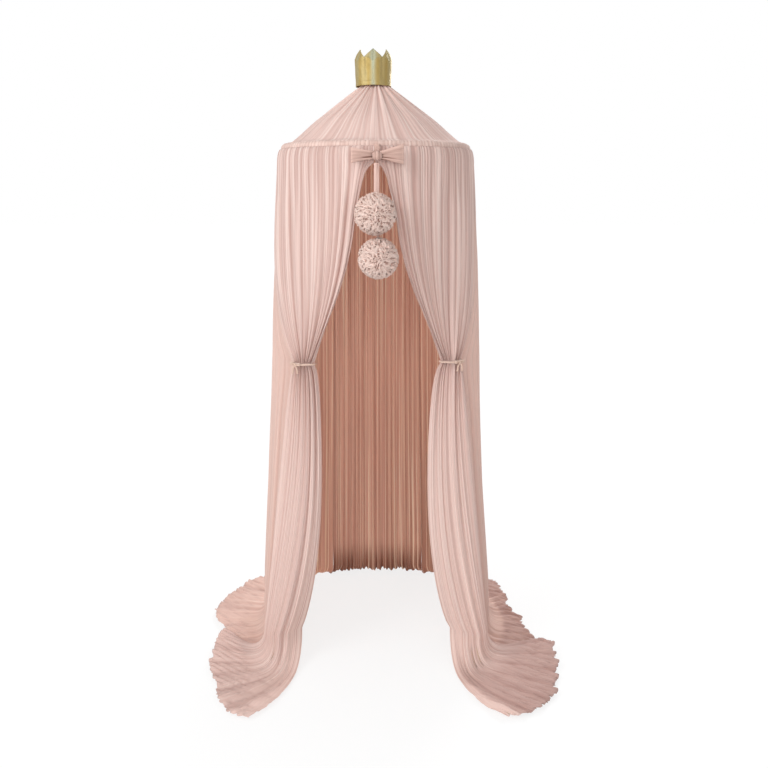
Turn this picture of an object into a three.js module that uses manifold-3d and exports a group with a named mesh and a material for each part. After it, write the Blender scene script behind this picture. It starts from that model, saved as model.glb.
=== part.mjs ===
// Bed crown canopy: a rod ring in a cloth casing, a pleated cone roof gathered to a neck with a
// hanging loop, a gold crown over the neck, five curtain panels, ribbon ties, a bow and pom-poms.
// Millimetres, +Z up, the front faces -Y, and the origin is where a hook bears in the hanging loop.
// Heights below are written from the floor, and the whole group is lowered at the end.
import * as THREE from 'three';
import { mergeVertices } from 'three/addons/utils/BufferGeometryUtils.js';
import Module from 'manifold-3d';

const wasm = await Module();
wasm.setup();

const TAU = Math.PI * 2;
const QUARTER = Math.PI / 2;

// Clearances and cloth
const seat_gap = 0.3;
const seam_gap = 2;
const curtain_cloth = 1.5;
const roof_cloth = 1.2;

// Rod ring and the cloth casing that carries it
const ring_radius = 276;
const ring_height = 1581;
const rod_radius = 4;
const rod_end_gap = 1;
const ferrule_wall = 1;
const ferrule_length = 40;
const casing_radius = 11;
const casing_wall = 1.2;
const casing_slit = 5;
const ring_facets = 48;
const casing_facets = 10;
const rod_sides = 8;
const rod_count = 4;

// Cone roof and neck
const shoulder_radius = 38;
const shoulder_height = 1770;
const neck_radius = 28.5;
const throat_height = 1779;
const neck_top_height = 1799;
const eave_fold = 2.4;
const shoulder_fold = 1.8;
const neck_fold = 1.4;
const gore_count = 4;
const gore_pleats = 7;

// Neck ring, binding and hanging loop
const neck_ring_height = 14;
const neck_ring_width = 6;
const binding_wall = 2;
const binding_height = 15;
const strap_width = 10;
const strap_thickness = 1.5;
const strap_foot = 4;
const loop_rise = 39;
const loop_crest_height = neck_top_height + loop_rise;
const loop_facets = 7;
const neck_facets = 32;

// Crown
const crown_base_radius = 54;
const crown_rim_radius = 56.5;
const crown_wall = 1.6;
const crown_lining_wall = 1;
const crown_valley_rise = 79;
const crown_point_rise = 24;
const crown_fold_below_valley = 3;
const crown_fold_drop = 11;
const crown_lean_share = 0.36;
const crown_lining_top_drop = 17;
const crown_lining_base_rise = 4;
const crown_shift = 6.5;
const crown_points = 6;
const crown_facets_per_point = 6;

// Curtains, from under the casing to the floor
const curtain_top_radius = 281;
const curtain_top_fold = 5;
const bulge_radius = 295;
const bulge_drop = 36;
const hang_fold_top = 6;
const hang_fold_foot = 10;
const side_foot_radius = 388;
const back_foot_radius = 326;
const floor_bend = 28;
const floor_fold = 8;
const front_curtain_pleats = 7;
const side_curtain_pleats = 7;
const back_curtain_pleats = 6;
const samples_per_pleat = 4;
const side_front_angle = THREE.MathUtils.degToRad(8);
const side_foot_angle = THREE.MathUtils.degToRad(30);
const side_sweep_start_share = 0.2;
const side_sweep_end_share = 0.5;
const side_back_angle = THREE.MathUtils.degToRad(61);
const pool_full_share = 0.82;
const pool_none_share = 0.45;
const pool_least_reach = 30;
const pool_corner_angle = THREE.MathUtils.degToRad(30);

// Front curtains between the ring and their ties
const outer_bulge = 14;
const outer_drop_power = 5.5;
const outer_forward_power = 3;
const inner_drop_power = 1.2;
const inner_forward_power = 1.55;
const hang_fold_middle = 11;
const bundle_half_width = 33;
const bundle_depth = 20;
const bundle_end_share = 0.9;
const bundle_neck_height = 11;
const bundle_turn = THREE.MathUtils.degToRad(15);

// Front curtains below their ties, as places out from the axis and forward of it
const foot_outer = [358, 238];
const foot_bend = [335, 345];
const foot_inner = [235, 250];
const foot_fold = 12;
const inner_flare_power = 4;
const fan_centre = [310, 220];
const fan_outer_angle = THREE.MathUtils.degToRad(27);
const fan_inner_angle = THREE.MathUtils.degToRad(110);
const fan_peak_share = 0.64;

// Sizes that differ from one side of the canopy to the other
const left = {
  name: 'left', sign: -1, tie_out: 216, tie_forward: 200, tie_height: 958, inner_swell: 15,
  side_reach: 160, corner_reach: 190, fan_outer: 246, fan_front: 350, fan_inner: 165,
};
const right = {
  name: 'right', sign: 1, tie_out: 227, tie_forward: 200, tie_height: 966, inner_swell: 33,
  side_reach: 85, corner_reach: 230, fan_outer: 262, fan_front: 345, fan_inner: 150,
};

// Ribbon ties
const tie_band_height = 7;
const tie_band_wall = 1.2;
const tie_facets = 24;
const tie_bow_angle = THREE.MathUtils.degToRad(61);
const tie_knot_radius = 3.4;
const tie_loop_length = 17;
const tie_loop_height = 8;
const tie_loop_depth = 3.6;
const tie_tail_length = 24;
const tie_tail_width = 5;
const tie_tail_thickness = 1.2;
const tie_loop_tilt = THREE.MathUtils.degToRad(12);
const tie_tail_splay = THREE.MathUtils.degToRad(28);

// Bow on the front of the ring
const bow_centre = 7;
const knot_width = 22;
const knot_height = 34;
const knot_depth = 25;
const knot_end_share = 0.75;
const tab_width = 14;
const tab_depth = 16.7;
const tab_height = 22;
const tab_overlap = 9;
const bow_left_length = 60;
const bow_left_height = 42;
const bow_right_length = 61;
const bow_right_height = 56;
const bow_root_height = 24;
const bow_depth = 16;
const bow_slope_left = 2;
const bow_slope_right = 3;
const bow_sides = 12;

// Pom-poms and the two flat cords that carry them
const pompom_forward = 372;
const upper_pompom = { across: 2, height: 1404, radius: 58 };
const lower_pompom = { across: 9, height: 1286, radius: 57 };
const pompom_lump = 1.2;
const pompom_lump_count = 6;
const cord_width = 8;
const cord_thickness = 2.4;
const cord_sides = 8;
const cord_steps = 24;
const cord_end_facets = 16;
const upper_cord_route = [
  [2, -316.5, 1538], [2, -317.4, 1533], [2, -319.6, 1526], [2, -322.3, 1519], [2, -325.1, 1512],
  [2, -327.9, 1505], [2, -330.8, 1498], [2, -333.6, 1491], [2, -336.4, 1484], [2, -339.2, 1477],
  [2, -342.0, 1470], [2, -344.8, 1463], [2, -347.3, 1456.95],
];
const lower_cord_route = [
  [9, -310.8, 1538], [9, -311, 1524], [9, -311, 1508], [9, -311, 1490], [9, -311, 1472],
  [9, -311, 1454], [9, -311, 1436], [9, -311, 1418], [9, -311, 1400], [9, -311, 1382],
  [9, -311, 1366], [9, -311, 1353], [9, -311.4, 1345], [9, -312.9, 1338.4], [9, -315.8, 1332.4],
  [9, -319.9, 1327.4], [9, -327.16, 1321.03],
];

// Colours
const blush = 0xe3c4b8;
const deep_blush = 0xc79a8b;
const gold = 0xb7a46c;

const cloth = { color: blush, roughness: 0.92, metalness: 0 };
const inner_cloth = { color: deep_blush, roughness: 0.92, metalness: 0 };
const ribbon = { color: 0xc9a397, roughness: 0.6, metalness: 0 };
const tape = { color: 0xd9b5a8, roughness: 0.9, metalness: 0 };
const rod = { color: 0xd8d8d4, roughness: 0.35, metalness: 0.9 };
const ferrule_plastic = { color: 0xe8e6e0, roughness: 0.5, metalness: 0 };
const vinyl = { color: gold, roughness: 0.3, metalness: 0.7 };
const felt = { color: 0xcbb98a, roughness: 0.95, metalness: 0 };
const tulle = { color: 0xe6c5b9, roughness: 0.95, metalness: 0 };

const mix = (a, b, t) => a + (b - a) * t;
const clamp01 = (t) => Math.min(Math.max(t, 0), 1);
const smooth = (t) => clamp01(t) ** 2 * (3 - 2 * clamp01(t));
const spread = (count) => Array.from({ length: count + 1 }, (_, i) => i / count);
const polar = (radius, angle, height) =>
  new THREE.Vector3(Math.cos(angle) * radius, Math.sin(angle) * radius, height);

// Faces point outwards once the enclosed volume is positive
function closedGeometry(points, faces) {
  let volume = 0;
  for (const [a, b, c] of faces) {
    volume += points[a].dot(new THREE.Vector3().crossVectors(points[b], points[c]));
  }
  const turned = volume < 0 ? faces.map(([a, b, c]) => [a, c, b]) : faces;
  const geometry = new THREE.BufferGeometry();
  geometry.setAttribute('position', new THREE.Float32BufferAttribute(points.flatMap((p) => p.toArray()), 3));
  geometry.setIndex(turned.flat());
  geometry.computeVertexNormals();
  return geometry;
}

// Rings of points joined in turn, capped at both ends or closed on themselves
function loft(rings, closed) {
  const count = rings[0].length;
  const faces = [];
  const spans = closed ? rings.length : rings.length - 1;
  for (let k = 0; k < spans; k += 1) {
    const here = k * count;
    const next = ((k + 1) % rings.length) * count;
    for (let i = 0; i < count; i += 1) {
      const j = (i + 1) % count;
      faces.push([here + i, here + j, next + j], [here + i, next + j, next + i]);
    }
  }
  if (!closed) {
    const last = (rings.length - 1) * count;
    for (let i = 1; i < count - 1; i += 1) {
      faces.push([0, i + 1, i], [last, last + i, last + i + 1]);
    }
  }
  return closedGeometry(rings.flat(), faces);
}

// The wall between two grids of points, open at the sides or wrapped into a band
function wallBetween(outer, inner, wrapped) {
  const columns = outer.length;
  const rows = outer[0].length;
  const points = [...outer.flat(), ...inner.flat()];
  const front = (i, j) => (i % columns) * rows + j;
  const back = (i, j) => columns * rows + (i % columns) * rows + j;
  const faces = [];
  const quad = (a, b, c, d) => faces.push([a, b, c], [a, c, d]);
  const spans = wrapped ? columns : columns - 1;
  for (let i = 0; i < spans; i += 1) {
    for (let j = 0; j < rows - 1; j += 1) {
      quad(front(i, j), front(i + 1, j), front(i + 1, j + 1), front(i, j + 1));
      quad(back(i, j), back(i, j + 1), back(i + 1, j + 1), back(i + 1, j));
    }
    quad(front(i, 0), back(i, 0), back(i + 1, 0), front(i + 1, 0));
    quad(front(i, rows - 1), front(i + 1, rows - 1), back(i + 1, rows - 1), back(i, rows - 1));
  }
  for (let j = 0; !wrapped && j < rows - 1; j += 1) {
    quad(front(0, j), front(0, j + 1), back(0, j + 1), back(0, j));
    quad(front(spans, j), back(spans, j), back(spans, j + 1), front(spans, j + 1));
  }
  return closedGeometry(points, faces);
}

// A grid moved along its own normals by a distance that each place gives
function movedGrid(grid, facing, distance) {
  const columns = grid.length;
  const rows = grid[0].length;
  return grid.map((column, i) => column.map((point, j) => {
    const across = grid[Math.min(i + 1, columns - 1)][j].clone().sub(grid[Math.max(i - 1, 0)][j]);
    const down = column[Math.min(j + 1, rows - 1)].clone().sub(column[Math.max(j - 1, 0)]);
    const normal = across.cross(down).normalize().multiplyScalar(facing);
    return point.clone().addScaledVector(normal, distance(i, j));
  }));
}

// Pleats of hanging cloth stand out level, and turn to stand up where the cloth lies on the floor
const lean_shares = { bend: 0.5, pool: 1 };

function pleatDirection(grid, i, j, row, facing) {
  const last = grid.length - 1;
  const across = grid[Math.min(i + 1, last)][j].clone().sub(grid[Math.max(i - 1, 0)][j]);
  const lean = (lean_shares[row.kind] ?? 0) * QUARTER;
  const level = new THREE.Vector3(-across.y, across.x, 0).normalize().multiplyScalar(facing);
  return level.multiplyScalar(Math.cos(lean)).setZ(Math.sin(lean));
}

// A sheet laid along place(u, row), with pleats that stand out by fold(u, row)
function pleatedSheet({ pleats, rows, place, fold, facing, thickness, direction = null }) {
  const shares = spread(pleats * samples_per_pleat);
  const base = shares.map((u) => rows.map((row) => place(u, row)));
  const depth = (i, j) => fold(shares[i], rows[j]) * Math.sin(TAU * i / samples_per_pleat);
  const folded = direction
    ? base.map((column, i) => column.map((point, j) =>
      point.clone().addScaledVector(direction(base, i, j, rows[j], facing), depth(i, j))))
    : movedGrid(base, facing, depth);
  const outer = movedGrid(folded, facing, () => thickness / 2);
  const inner = movedGrid(folded, facing, () => -thickness / 2);
  return wallBetween(outer, inner, false);
}

function asSolid(geometry) {
  const bare = geometry.clone();
  for (const name of ['normal', 'uv']) {
    bare.deleteAttribute(name);
  }
  const merged = mergeVertices(bare);
  return new wasm.Manifold(new wasm.Mesh({
    numProp: 3,
    vertProperties: new Float32Array(merged.attributes.position.array),
    triVerts: new Uint32Array(merged.index.array),
  }));
}

function joined(geometries) {
  const whole = geometries.map(asSolid).reduce((sum, solid) => sum.add(solid));
  const mesh = whole.getMesh();
  const geometry = new THREE.BufferGeometry();
  geometry.setAttribute('position', new THREE.Float32BufferAttribute(mesh.vertProperties, 3));
  geometry.setIndex(Array.from(mesh.triVerts));
  geometry.computeVertexNormals();
  return geometry;
}

function piece(name, geometry, finish) {
  const mesh = new THREE.Mesh(geometry, new THREE.MeshStandardMaterial(finish));
  mesh.name = name;
  return mesh;
}

// The ring is a regular polygon, so that rods, ferrules and casing stay parallel
const ring_step = TAU / ring_facets;

function ringPoint(angle, radius, height) {
  const offset = Math.abs(angle - ring_step * Math.round(angle / ring_step));
  const reach = radius * Math.cos(ring_step / 2) / Math.cos(ring_step / 2 - offset);
  return polar(reach, angle, height);
}

function ringAngles(start, end) {
  const angles = [start];
  for (let k = Math.floor(start / ring_step) + 1; k * ring_step < end - ring_step / ring_facets; k += 1) {
    angles.push(k * ring_step);
  }
  return [...angles, end];
}

const ferrule_radius = rod_radius + seat_gap + ferrule_wall;
const casing_arc = TAU - 2 * Math.asin(casing_slit / 2 / casing_radius);
const casing_bore = (casing_radius - casing_wall) * Math.cos(casing_arc / casing_facets / 2);
const rod_drop = casing_bore - seat_gap - ferrule_radius;

function barSection(angle, radius) {
  return spread(rod_sides).slice(1).map((share) => {
    const turn = share * TAU;
    return ringPoint(angle, ring_radius + Math.cos(turn) * radius,
      ring_height - rod_drop + Math.sin(turn) * radius);
  });
}

function rodSegment(index) {
  const start = (index + 0.5) * TAU / rod_count;
  const end = start + TAU / rod_count;
  const margin = rod_end_gap / 2 / ring_radius;
  return loft(ringAngles(start + margin, end - margin).map((angle) => barSection(angle, rod_radius)), false);
}

function ferrule(index) {
  const middle = (index + 0.5) * TAU / rod_count;
  const half = ferrule_length / 2 / ring_radius;
  const angles = ringAngles(middle - half, middle + half);
  const outer = angles.map((angle) => barSection(angle, ferrule_radius));
  const inner = angles.map((angle) => barSection(angle, rod_radius + seat_gap));
  return loft([...outer, ...inner.reverse()], true);
}

// The casing is a tape folded round the ring, open towards the axis
function casing() {
  const turns = spread(casing_facets).map((share) => Math.PI - (TAU - casing_arc) / 2 - share * casing_arc);
  const arc = (radius) => turns.map((turn) => [Math.cos(turn) * radius, Math.sin(turn) * radius]);
  const section = [...arc(casing_radius), ...arc(casing_radius - casing_wall).reverse()];
  const rings = spread(ring_facets).slice(1).map((share) =>
    section.map(([out, up]) => polar(ring_radius + out, share * TAU, ring_height + up)));
  return loft(rings, true);
}

// The roof line is tangent to the casing, clear of it by the eave folds
const roof_slope = Math.atan2(shoulder_height - ring_height, ring_radius - shoulder_radius);
const eave_lift = casing_radius + seat_gap + eave_fold + roof_cloth / 2;
const eave_radius = ring_radius + Math.sin(roof_slope) * eave_lift;
const eave_height = ring_height + Math.cos(roof_slope) * eave_lift;

const roof_rows = [
  { radius: eave_radius, height: eave_height, fold: eave_fold },
  { radius: shoulder_radius, height: shoulder_height, fold: shoulder_fold },
  { radius: neck_radius, height: throat_height, fold: neck_fold },
  { radius: neck_radius, height: neck_top_height, fold: neck_fold },
];

function roofGore(middle) {
  const half = TAU / gore_count / 2;
  return pleatedSheet({
    pleats: gore_pleats,
    rows: roof_rows,
    place: (u, row) => {
      const trim = seat_gap / 2 / row.radius;
      return polar(row.radius, mix(middle - half + trim, middle + half - trim, u), row.height);
    },
    fold: (u, row) => row.fold,
    facing: 1,
    thickness: roof_cloth,
  });
}

function roofHeightAt(radius) {
  const share = (eave_radius - radius) / (eave_radius - shoulder_radius);
  return mix(eave_height, shoulder_height, share);
}

// A straight-walled ring about the vertical axis
function roundBand(outer_radius, inner_radius, base, height, facets) {
  const wall = (radius) => spread(facets).slice(1).map((share) =>
    [polar(radius, share * TAU, base), polar(radius, share * TAU, base + height)]);
  return wallBetween(wall(outer_radius), wall(inner_radius), true);
}

const neck_half = neck_fold + roof_cloth / 2 + seat_gap;
const neck_ring_outer = neck_radius - neck_half;
const neck_ring_inner = neck_ring_outer - neck_ring_width;
const neck_ring_base = neck_top_height - binding_height;
const facet_loss = Math.cos(Math.PI / neck_facets);

function neckRing() {
  return roundBand(neck_ring_outer, neck_ring_inner, neck_ring_base, neck_ring_height, neck_facets);
}

function neckBinding() {
  const inner = (neck_radius + neck_half) / facet_loss;
  return roundBand(inner + binding_wall, inner, neck_top_height - binding_height, binding_height, neck_facets);
}

// A flat strap: two legs inside the neck ring, feet turned out under it, and an arch on top
function hangingLoop() {
  const bore = neck_ring_inner * facet_loss;
  const outer = Math.sqrt(bore ** 2 - (strap_width / 2) ** 2) - seat_gap;
  const inner = outer - strap_thickness;
  const centre = loop_crest_height - inner * Math.cos(Math.PI / loop_facets / 2);
  const foot_top = neck_ring_base - seat_gap;
  const arch = (radius) => spread(loop_facets).map((share) =>
    new THREE.Vector2(Math.cos(share * Math.PI) * radius, centre + Math.sin(share * Math.PI) * radius));
  const outline = [
    new THREE.Vector2(outer + strap_foot, foot_top - strap_thickness),
    new THREE.Vector2(outer + strap_foot, foot_top),
    new THREE.Vector2(outer, foot_top),
    ...arch(outer),
    new THREE.Vector2(-outer, foot_top),
    new THREE.Vector2(-outer - strap_foot, foot_top),
    new THREE.Vector2(-outer - strap_foot, foot_top - strap_thickness),
    new THREE.Vector2(-inner, foot_top - strap_thickness),
    ...arch(inner).reverse(),
    new THREE.Vector2(inner, foot_top - strap_thickness),
  ];
  const geometry = new THREE.ExtrudeGeometry(new THREE.Shape(outline), {
    depth: strap_width, bevelEnabled: false,
  });
  geometry.rotateX(QUARTER);
  geometry.translate(0, strap_width / 2, 0);
  return geometry;
}

// The crown stands level on the highest folds of the roof, a little off its middle
const crown_seat_radius = crown_base_radius - crown_wall - crown_shift;
const crown_base = roofHeightAt(crown_seat_radius)
  + (shoulder_fold + roof_cloth / 2) / Math.cos(roof_slope) + seat_gap;
const crown_facets = crown_points * crown_facets_per_point;

// Each point leans in above a fold line that dips under it
function crownPointShare(share) {
  return Math.abs((share * crown_points) % 1 - 0.5) * 2;
}

function crownFoldAt(share) {
  const valley = crown_base + crown_valley_rise;
  return valley - crown_fold_below_valley - crown_fold_drop * crownPointShare(share) ** 2;
}

function crownTopAt(share) {
  return crown_base + crown_valley_rise + crown_point_rise * crownPointShare(share);
}

function crownWall(inset, wall, base, middleAt, topAt) {
  const grid = (depth) => spread(crown_facets).slice(1).map((share) => {
    const angle = share * TAU - QUARTER;
    return [base, middleAt(share), topAt(share)].map((height) => {
      const rise = (height - crown_base) / crown_valley_rise;
      const lean = crown_lean_share * Math.max(height - crownFoldAt(share), 0);
      return polar(mix(crown_base_radius, crown_rim_radius, rise) - lean - depth, angle, height);
    });
  });
  return wallBetween(grid(inset), grid(inset + wall), true);
}

function crownBand() {
  return crownWall(0, crown_wall, crown_base, crownFoldAt, crownTopAt);
}

function crownLining() {
  const base = crown_base + crown_lining_base_rise;
  const top = crown_base + crown_valley_rise - crown_lining_top_drop;
  return crownWall(crown_wall + seat_gap, crown_lining_wall, base, () => mix(base, top, 0.5), () => top);
}

// Curtain rows: where the cloth leaves the casing, where it is fullest, and its way down
const curtain_top = ring_height - casing_radius - seat_gap;
const bulge_height = curtain_top - bulge_drop;
const floor_lie = floor_fold + curtain_cloth / 2;
const drop_end = floor_lie + floor_bend;
const side_rows = [
  { kind: 'top' }, ...[0, 0.2, 0.35, 0.5, 1].map((share) => ({ kind: 'hung', share })),
  { kind: 'bend' }, { kind: 'pool', share: 0 }, { kind: 'pool', share: 1 },
];
const back_rows = [
  { kind: 'top' }, ...[0, 0.5, 1].map((share) => ({ kind: 'hung', share })),
  { kind: 'bend' }, { kind: 'pool', share: 0 }, { kind: 'pool', share: 1 },
];
const bend_share = 1 - Math.SQRT1_2;

function footRadius(angle) {
  return mix(back_foot_radius, side_foot_radius, Math.abs(Math.cos(angle)));
}

// The cloth pools furthest at the front corners, and hardly at all behind
function poolReach(angle, side) {
  if (!side) {
    return pool_least_reach;
  }
  const share = (Math.abs(Math.cos(angle)) - pool_none_share) / (pool_full_share - pool_none_share);
  const forward = Math.asin(-Math.sin(angle));
  const full = mix(side.side_reach, side.corner_reach, smooth(forward / pool_corner_angle));
  return forward > 0 ? full : mix(pool_least_reach, full, smooth(share));
}

function hangingPlace(angle, row, side) {
  const foot = footRadius(angle);
  if (row.kind === 'top') {
    return polar(curtain_top_radius, angle, curtain_top);
  }
  if (row.kind === 'hung') {
    return polar(mix(bulge_radius, foot, row.share), angle, mix(bulge_height, drop_end, row.share));
  }
  if (row.kind === 'bend') {
    return polar(foot + floor_bend * bend_share, angle, floor_lie + floor_bend * bend_share);
  }
  return polar(foot + floor_bend + poolReach(angle, side) * row.share, angle, floor_lie);
}

function hangingFold(row) {
  if (row.kind === 'top') {
    return curtain_top_fold;
  }
  if (row.kind === 'hung') {
    return mix(hang_fold_top, hang_fold_foot, row.share);
  }
  return floor_fold;
}

// The front edge of a side curtain sweeps forward behind the tied bundle
function frontEdgeAngle(row) {
  if (row.kind === 'top') {
    return side_front_angle;
  }
  const share = row.kind === 'hung' ? row.share : 1;
  const sweep = (share - side_sweep_start_share) / (side_sweep_end_share - side_sweep_start_share);
  return mix(side_front_angle, side_foot_angle, smooth(sweep));
}

function sideCurtain(side) {
  const trim = seam_gap / 2 / ring_radius;
  const across = (angle) => (side.sign > 0 ? angle : Math.PI - angle);
  return pleatedSheet({
    pleats: side_curtain_pleats,
    rows: side_rows,
    place: (u, row) => hangingPlace(
      across(mix(trim - frontEdgeAngle(row), side_back_angle - trim, u)), row, side),
    fold: (u, row) => hangingFold(row),
    facing: -side.sign,
    thickness: curtain_cloth,
    direction: pleatDirection,
  });
}

function backCurtain() {
  const trim = seam_gap / 2 / ring_radius;
  return pleatedSheet({
    pleats: back_curtain_pleats,
    rows: back_rows,
    place: (u, row) => hangingPlace(
      mix(Math.PI - side_back_angle - trim, side_back_angle + trim, u), row, null),
    fold: (u, row) => hangingFold(row),
    facing: 1,
    thickness: curtain_cloth,
    direction: pleatDirection,
  });
}

// Front curtains: full at the ring, drawn into a bundle at the tie, fanned out on the floor
const front_rows = [
  { kind: 'top' },
  ...[0, 0.25, 0.5, 0.72, 0.9, 1].map((share) => ({ kind: 'drawn', share })),
  ...[0, 0.1, 0.35, 0.7, 1].map((share) => ({ kind: 'flared', share })),
  { kind: 'bend' },
  ...[0, 0.45, 1].map((share) => ({ kind: 'pool', share })),
];

const sidePlace = (side, [out, forward]) => new THREE.Vector3(side.sign * out, -forward, 0);

function bundlePlace(side, u) {
  const along = (2 * u - 1) * bundle_half_width;
  return sidePlace(side, [
    side.tie_out - along * Math.cos(bundle_turn),
    side.tie_forward + along * Math.sin(bundle_turn),
  ]);
}

function bundleFold(u) {
  return bundle_depth * Math.sqrt(1 - ((2 * u - 1) * bundle_end_share) ** 2);
}

function footPlace(side, u) {
  const bezier = (k) => (1 - u) ** 2 * foot_outer[k] + 2 * u * (1 - u) * foot_bend[k] + u ** 2 * foot_inner[k];
  return sidePlace(side, [bezier(0), bezier(1)]);
}

function fanPlace(side, u) {
  const reach = u < fan_peak_share
    ? mix(side.fan_outer, side.fan_front, smooth(u / fan_peak_share))
    : mix(side.fan_front, side.fan_inner, smooth((u - fan_peak_share) / (1 - fan_peak_share)));
  const turn = mix(fan_outer_angle, fan_inner_angle, u);
  return sidePlace(side, [
    fan_centre[0] + Math.cos(turn) * reach,
    fan_centre[1] + Math.sin(turn) * reach,
  ]);
}

function frontPlace(side, u, row) {
  const trim = seam_gap / 2 / ring_radius;
  const turn = mix(side_front_angle + trim, QUARTER - trim, u);
  const tie_top = side.tie_height + bundle_neck_height / 2;
  const tie_foot = side.tie_height - bundle_neck_height / 2;
  const ringPlace = (radius) => sidePlace(side, [Math.cos(turn) * radius, Math.sin(turn) * radius]);
  if (row.kind === 'top') {
    return ringPlace(curtain_top_radius).setZ(curtain_top);
  }
  if (row.kind === 'drawn') {
    const point = ringPlace(bulge_radius);
    const bundle = bundlePlace(side, u);
    point.x = mix(point.x, bundle.x, row.share ** mix(outer_drop_power, inner_drop_power, u));
    point.y = mix(point.y, bundle.y, row.share ** mix(outer_forward_power, inner_forward_power, u));
    point.x += side.sign * outer_bulge * Math.sin(Math.PI * row.share) * (1 - u) ** 2;
    return point.setZ(mix(bulge_height, tie_top, row.share));
  }
  if (row.kind === 'flared') {
    const bundle = bundlePlace(side, u);
    const foot = footPlace(side, u);
    const swell = side.sign * side.inner_swell * Math.sqrt(Math.sin(Math.PI * row.share)) * u ** 2;
    return new THREE.Vector3(
      mix(bundle.x, foot.x, row.share ** mix(1, inner_flare_power, u)) - swell,
      mix(bundle.y, foot.y, row.share),
      mix(tie_foot, drop_end, row.share),
    );
  }
  const foot = footPlace(side, u);
  const outwards = fanPlace(side, u).sub(foot);
  const start = foot.clone().addScaledVector(outwards.clone().normalize(), floor_bend);
  if (row.kind === 'bend') {
    return foot.lerp(start, bend_share).setZ(floor_lie + floor_bend * bend_share);
  }
  return start.lerp(fanPlace(side, u), row.share).setZ(floor_lie);
}

function frontFold(u, row) {
  if (row.kind === 'top') {
    return curtain_top_fold;
  }
  if (row.kind === 'drawn') {
    const open = mix(hang_fold_top, hang_fold_middle, Math.min(row.share * 2, 1));
    return mix(open, bundleFold(u), row.share ** 2);
  }
  if (row.kind === 'flared') {
    return mix(bundleFold(u), foot_fold, row.share);
  }
  return floor_fold;
}

function frontCurtain(side) {
  return pleatedSheet({
    pleats: front_curtain_pleats,
    rows: front_rows,
    place: (u, row) => frontPlace(side, u, row),
    fold: frontFold,
    facing: side.sign,
    thickness: curtain_cloth,
    direction: pleatDirection,
  });
}

// Ribbon ties: an oval band round the bundle, and a small bow on its outer front
const tie_clear = curtain_cloth / 2 + seat_gap;
const tie_across = (bundle_half_width / bundle_end_share + tie_clear) / Math.cos(Math.PI / tie_facets);
const tie_deep = (bundle_depth + tie_clear) / Math.cos(Math.PI / tie_facets);

function atTie(mesh, side) {
  mesh.position.set(side.sign * side.tie_out, -side.tie_forward, side.tie_height);
  mesh.rotation.z = side.sign * bundle_turn;
  return mesh;
}

function tieBand(side) {
  const oval = (wall) => spread(tie_facets).slice(1).map((share) => {
    const x = Math.cos(share * TAU) * (tie_across + wall);
    const y = Math.sin(share * TAU) * (tie_deep + wall);
    return [new THREE.Vector3(x, y, -tie_band_height / 2), new THREE.Vector3(x, y, tie_band_height / 2)];
  });
  return atTie(piece(`${side.name}_tie_band`, wallBetween(oval(tie_band_wall), oval(0), true), ribbon), side);
}

function tieBow(side) {
  const blob = (x, y, z) => new THREE.SphereGeometry(1, 8, 6).rotateX(QUARTER).scale(x, y, z);
  const knot = blob(tie_knot_radius, tie_knot_radius, tie_knot_radius);
  const parts = [knot];
  for (const way of [-1, 1]) {
    const loop = blob(tie_loop_length / 2, tie_loop_depth / 2, tie_loop_height / 2);
    loop.translate(way * tie_loop_length / 2, 0, 0).rotateY(-way * tie_loop_tilt);
    const tail = new THREE.BoxGeometry(tie_tail_width, tie_tail_thickness, tie_tail_length);
    tail.translate(0, 0, -tie_tail_length / 2).rotateY(-way * tie_tail_splay);
    parts.push(loop, tail);
  }
  const turn = Math.PI + QUARTER + side.sign * (QUARTER - tie_bow_angle);
  const mesh = piece(`${side.name}_tie_bow`, joined(parts), ribbon);
  const spot = new THREE.Vector3(Math.cos(turn) * tie_across, Math.sin(turn) * tie_deep, 0);
  const normal = new THREE.Vector3(spot.x / tie_across ** 2, spot.y / tie_deep ** 2, 0).normalize();
  spot.addScaledVector(normal, tie_band_wall + seat_gap + tie_knot_radius);
  mesh.position.copy(spot);
  mesh.rotation.z = Math.atan2(normal.y, normal.x) + QUARTER;
  const carrier = atTie(new THREE.Group(), side);
  carrier.add(mesh);
  return carrier;
}

// Front bow: a tab on the casing, the knot on the tab, and a loop of cloth on each side
const knot_base = upper_cord_route[0][2] + cord_width / 2 + seat_gap;
const knot_top = knot_base + knot_height;
const tab_back = ring_radius + casing_radius + seat_gap;
const knot_back = tab_back + tab_depth + seat_gap;
const knot_middle = knot_back + knot_depth / 2;

function ovalRing(x, y, z, half_y, half_z, plane) {
  return spread(bow_sides).slice(1).map((share) => {
    const a = Math.cos(share * TAU);
    const b = Math.sin(share * TAU);
    const round = (value) => Math.sign(value) * Math.sqrt(Math.abs(value));
    return plane === 'across'
      ? new THREE.Vector3(x, y + round(a) * half_y, z + round(b) * half_z)
      : new THREE.Vector3(x + round(a) * half_y, y + round(b) * half_z, z);
  });
}

function bowTab() {
  const geometry = new THREE.BoxGeometry(tab_width, tab_depth, tab_height);
  const top = knot_top - tab_overlap + tab_height;
  return geometry.translate(bow_centre, -tab_back - tab_depth / 2, top - tab_height / 2);
}

function bowKnot() {
  const heights = [[0, knot_end_share], [1 - knot_end_share, 1], [knot_end_share, 1], [1, knot_end_share]];
  return loft(heights.map(([share, size]) => ovalRing(bow_centre, -knot_middle,
    knot_base + knot_height * share, knot_width / 2 * size, knot_depth / 2 * size, 'level')), false);
}

const loop_length_shares = [0, 0.2, 0.5, 0.85, 1];
const loop_height_shares = [0, 0.35, 0.7, 1, 0.97];
const loop_depth_shares = [0.6, 0.85, 1, 0.9, 0.45];

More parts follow.
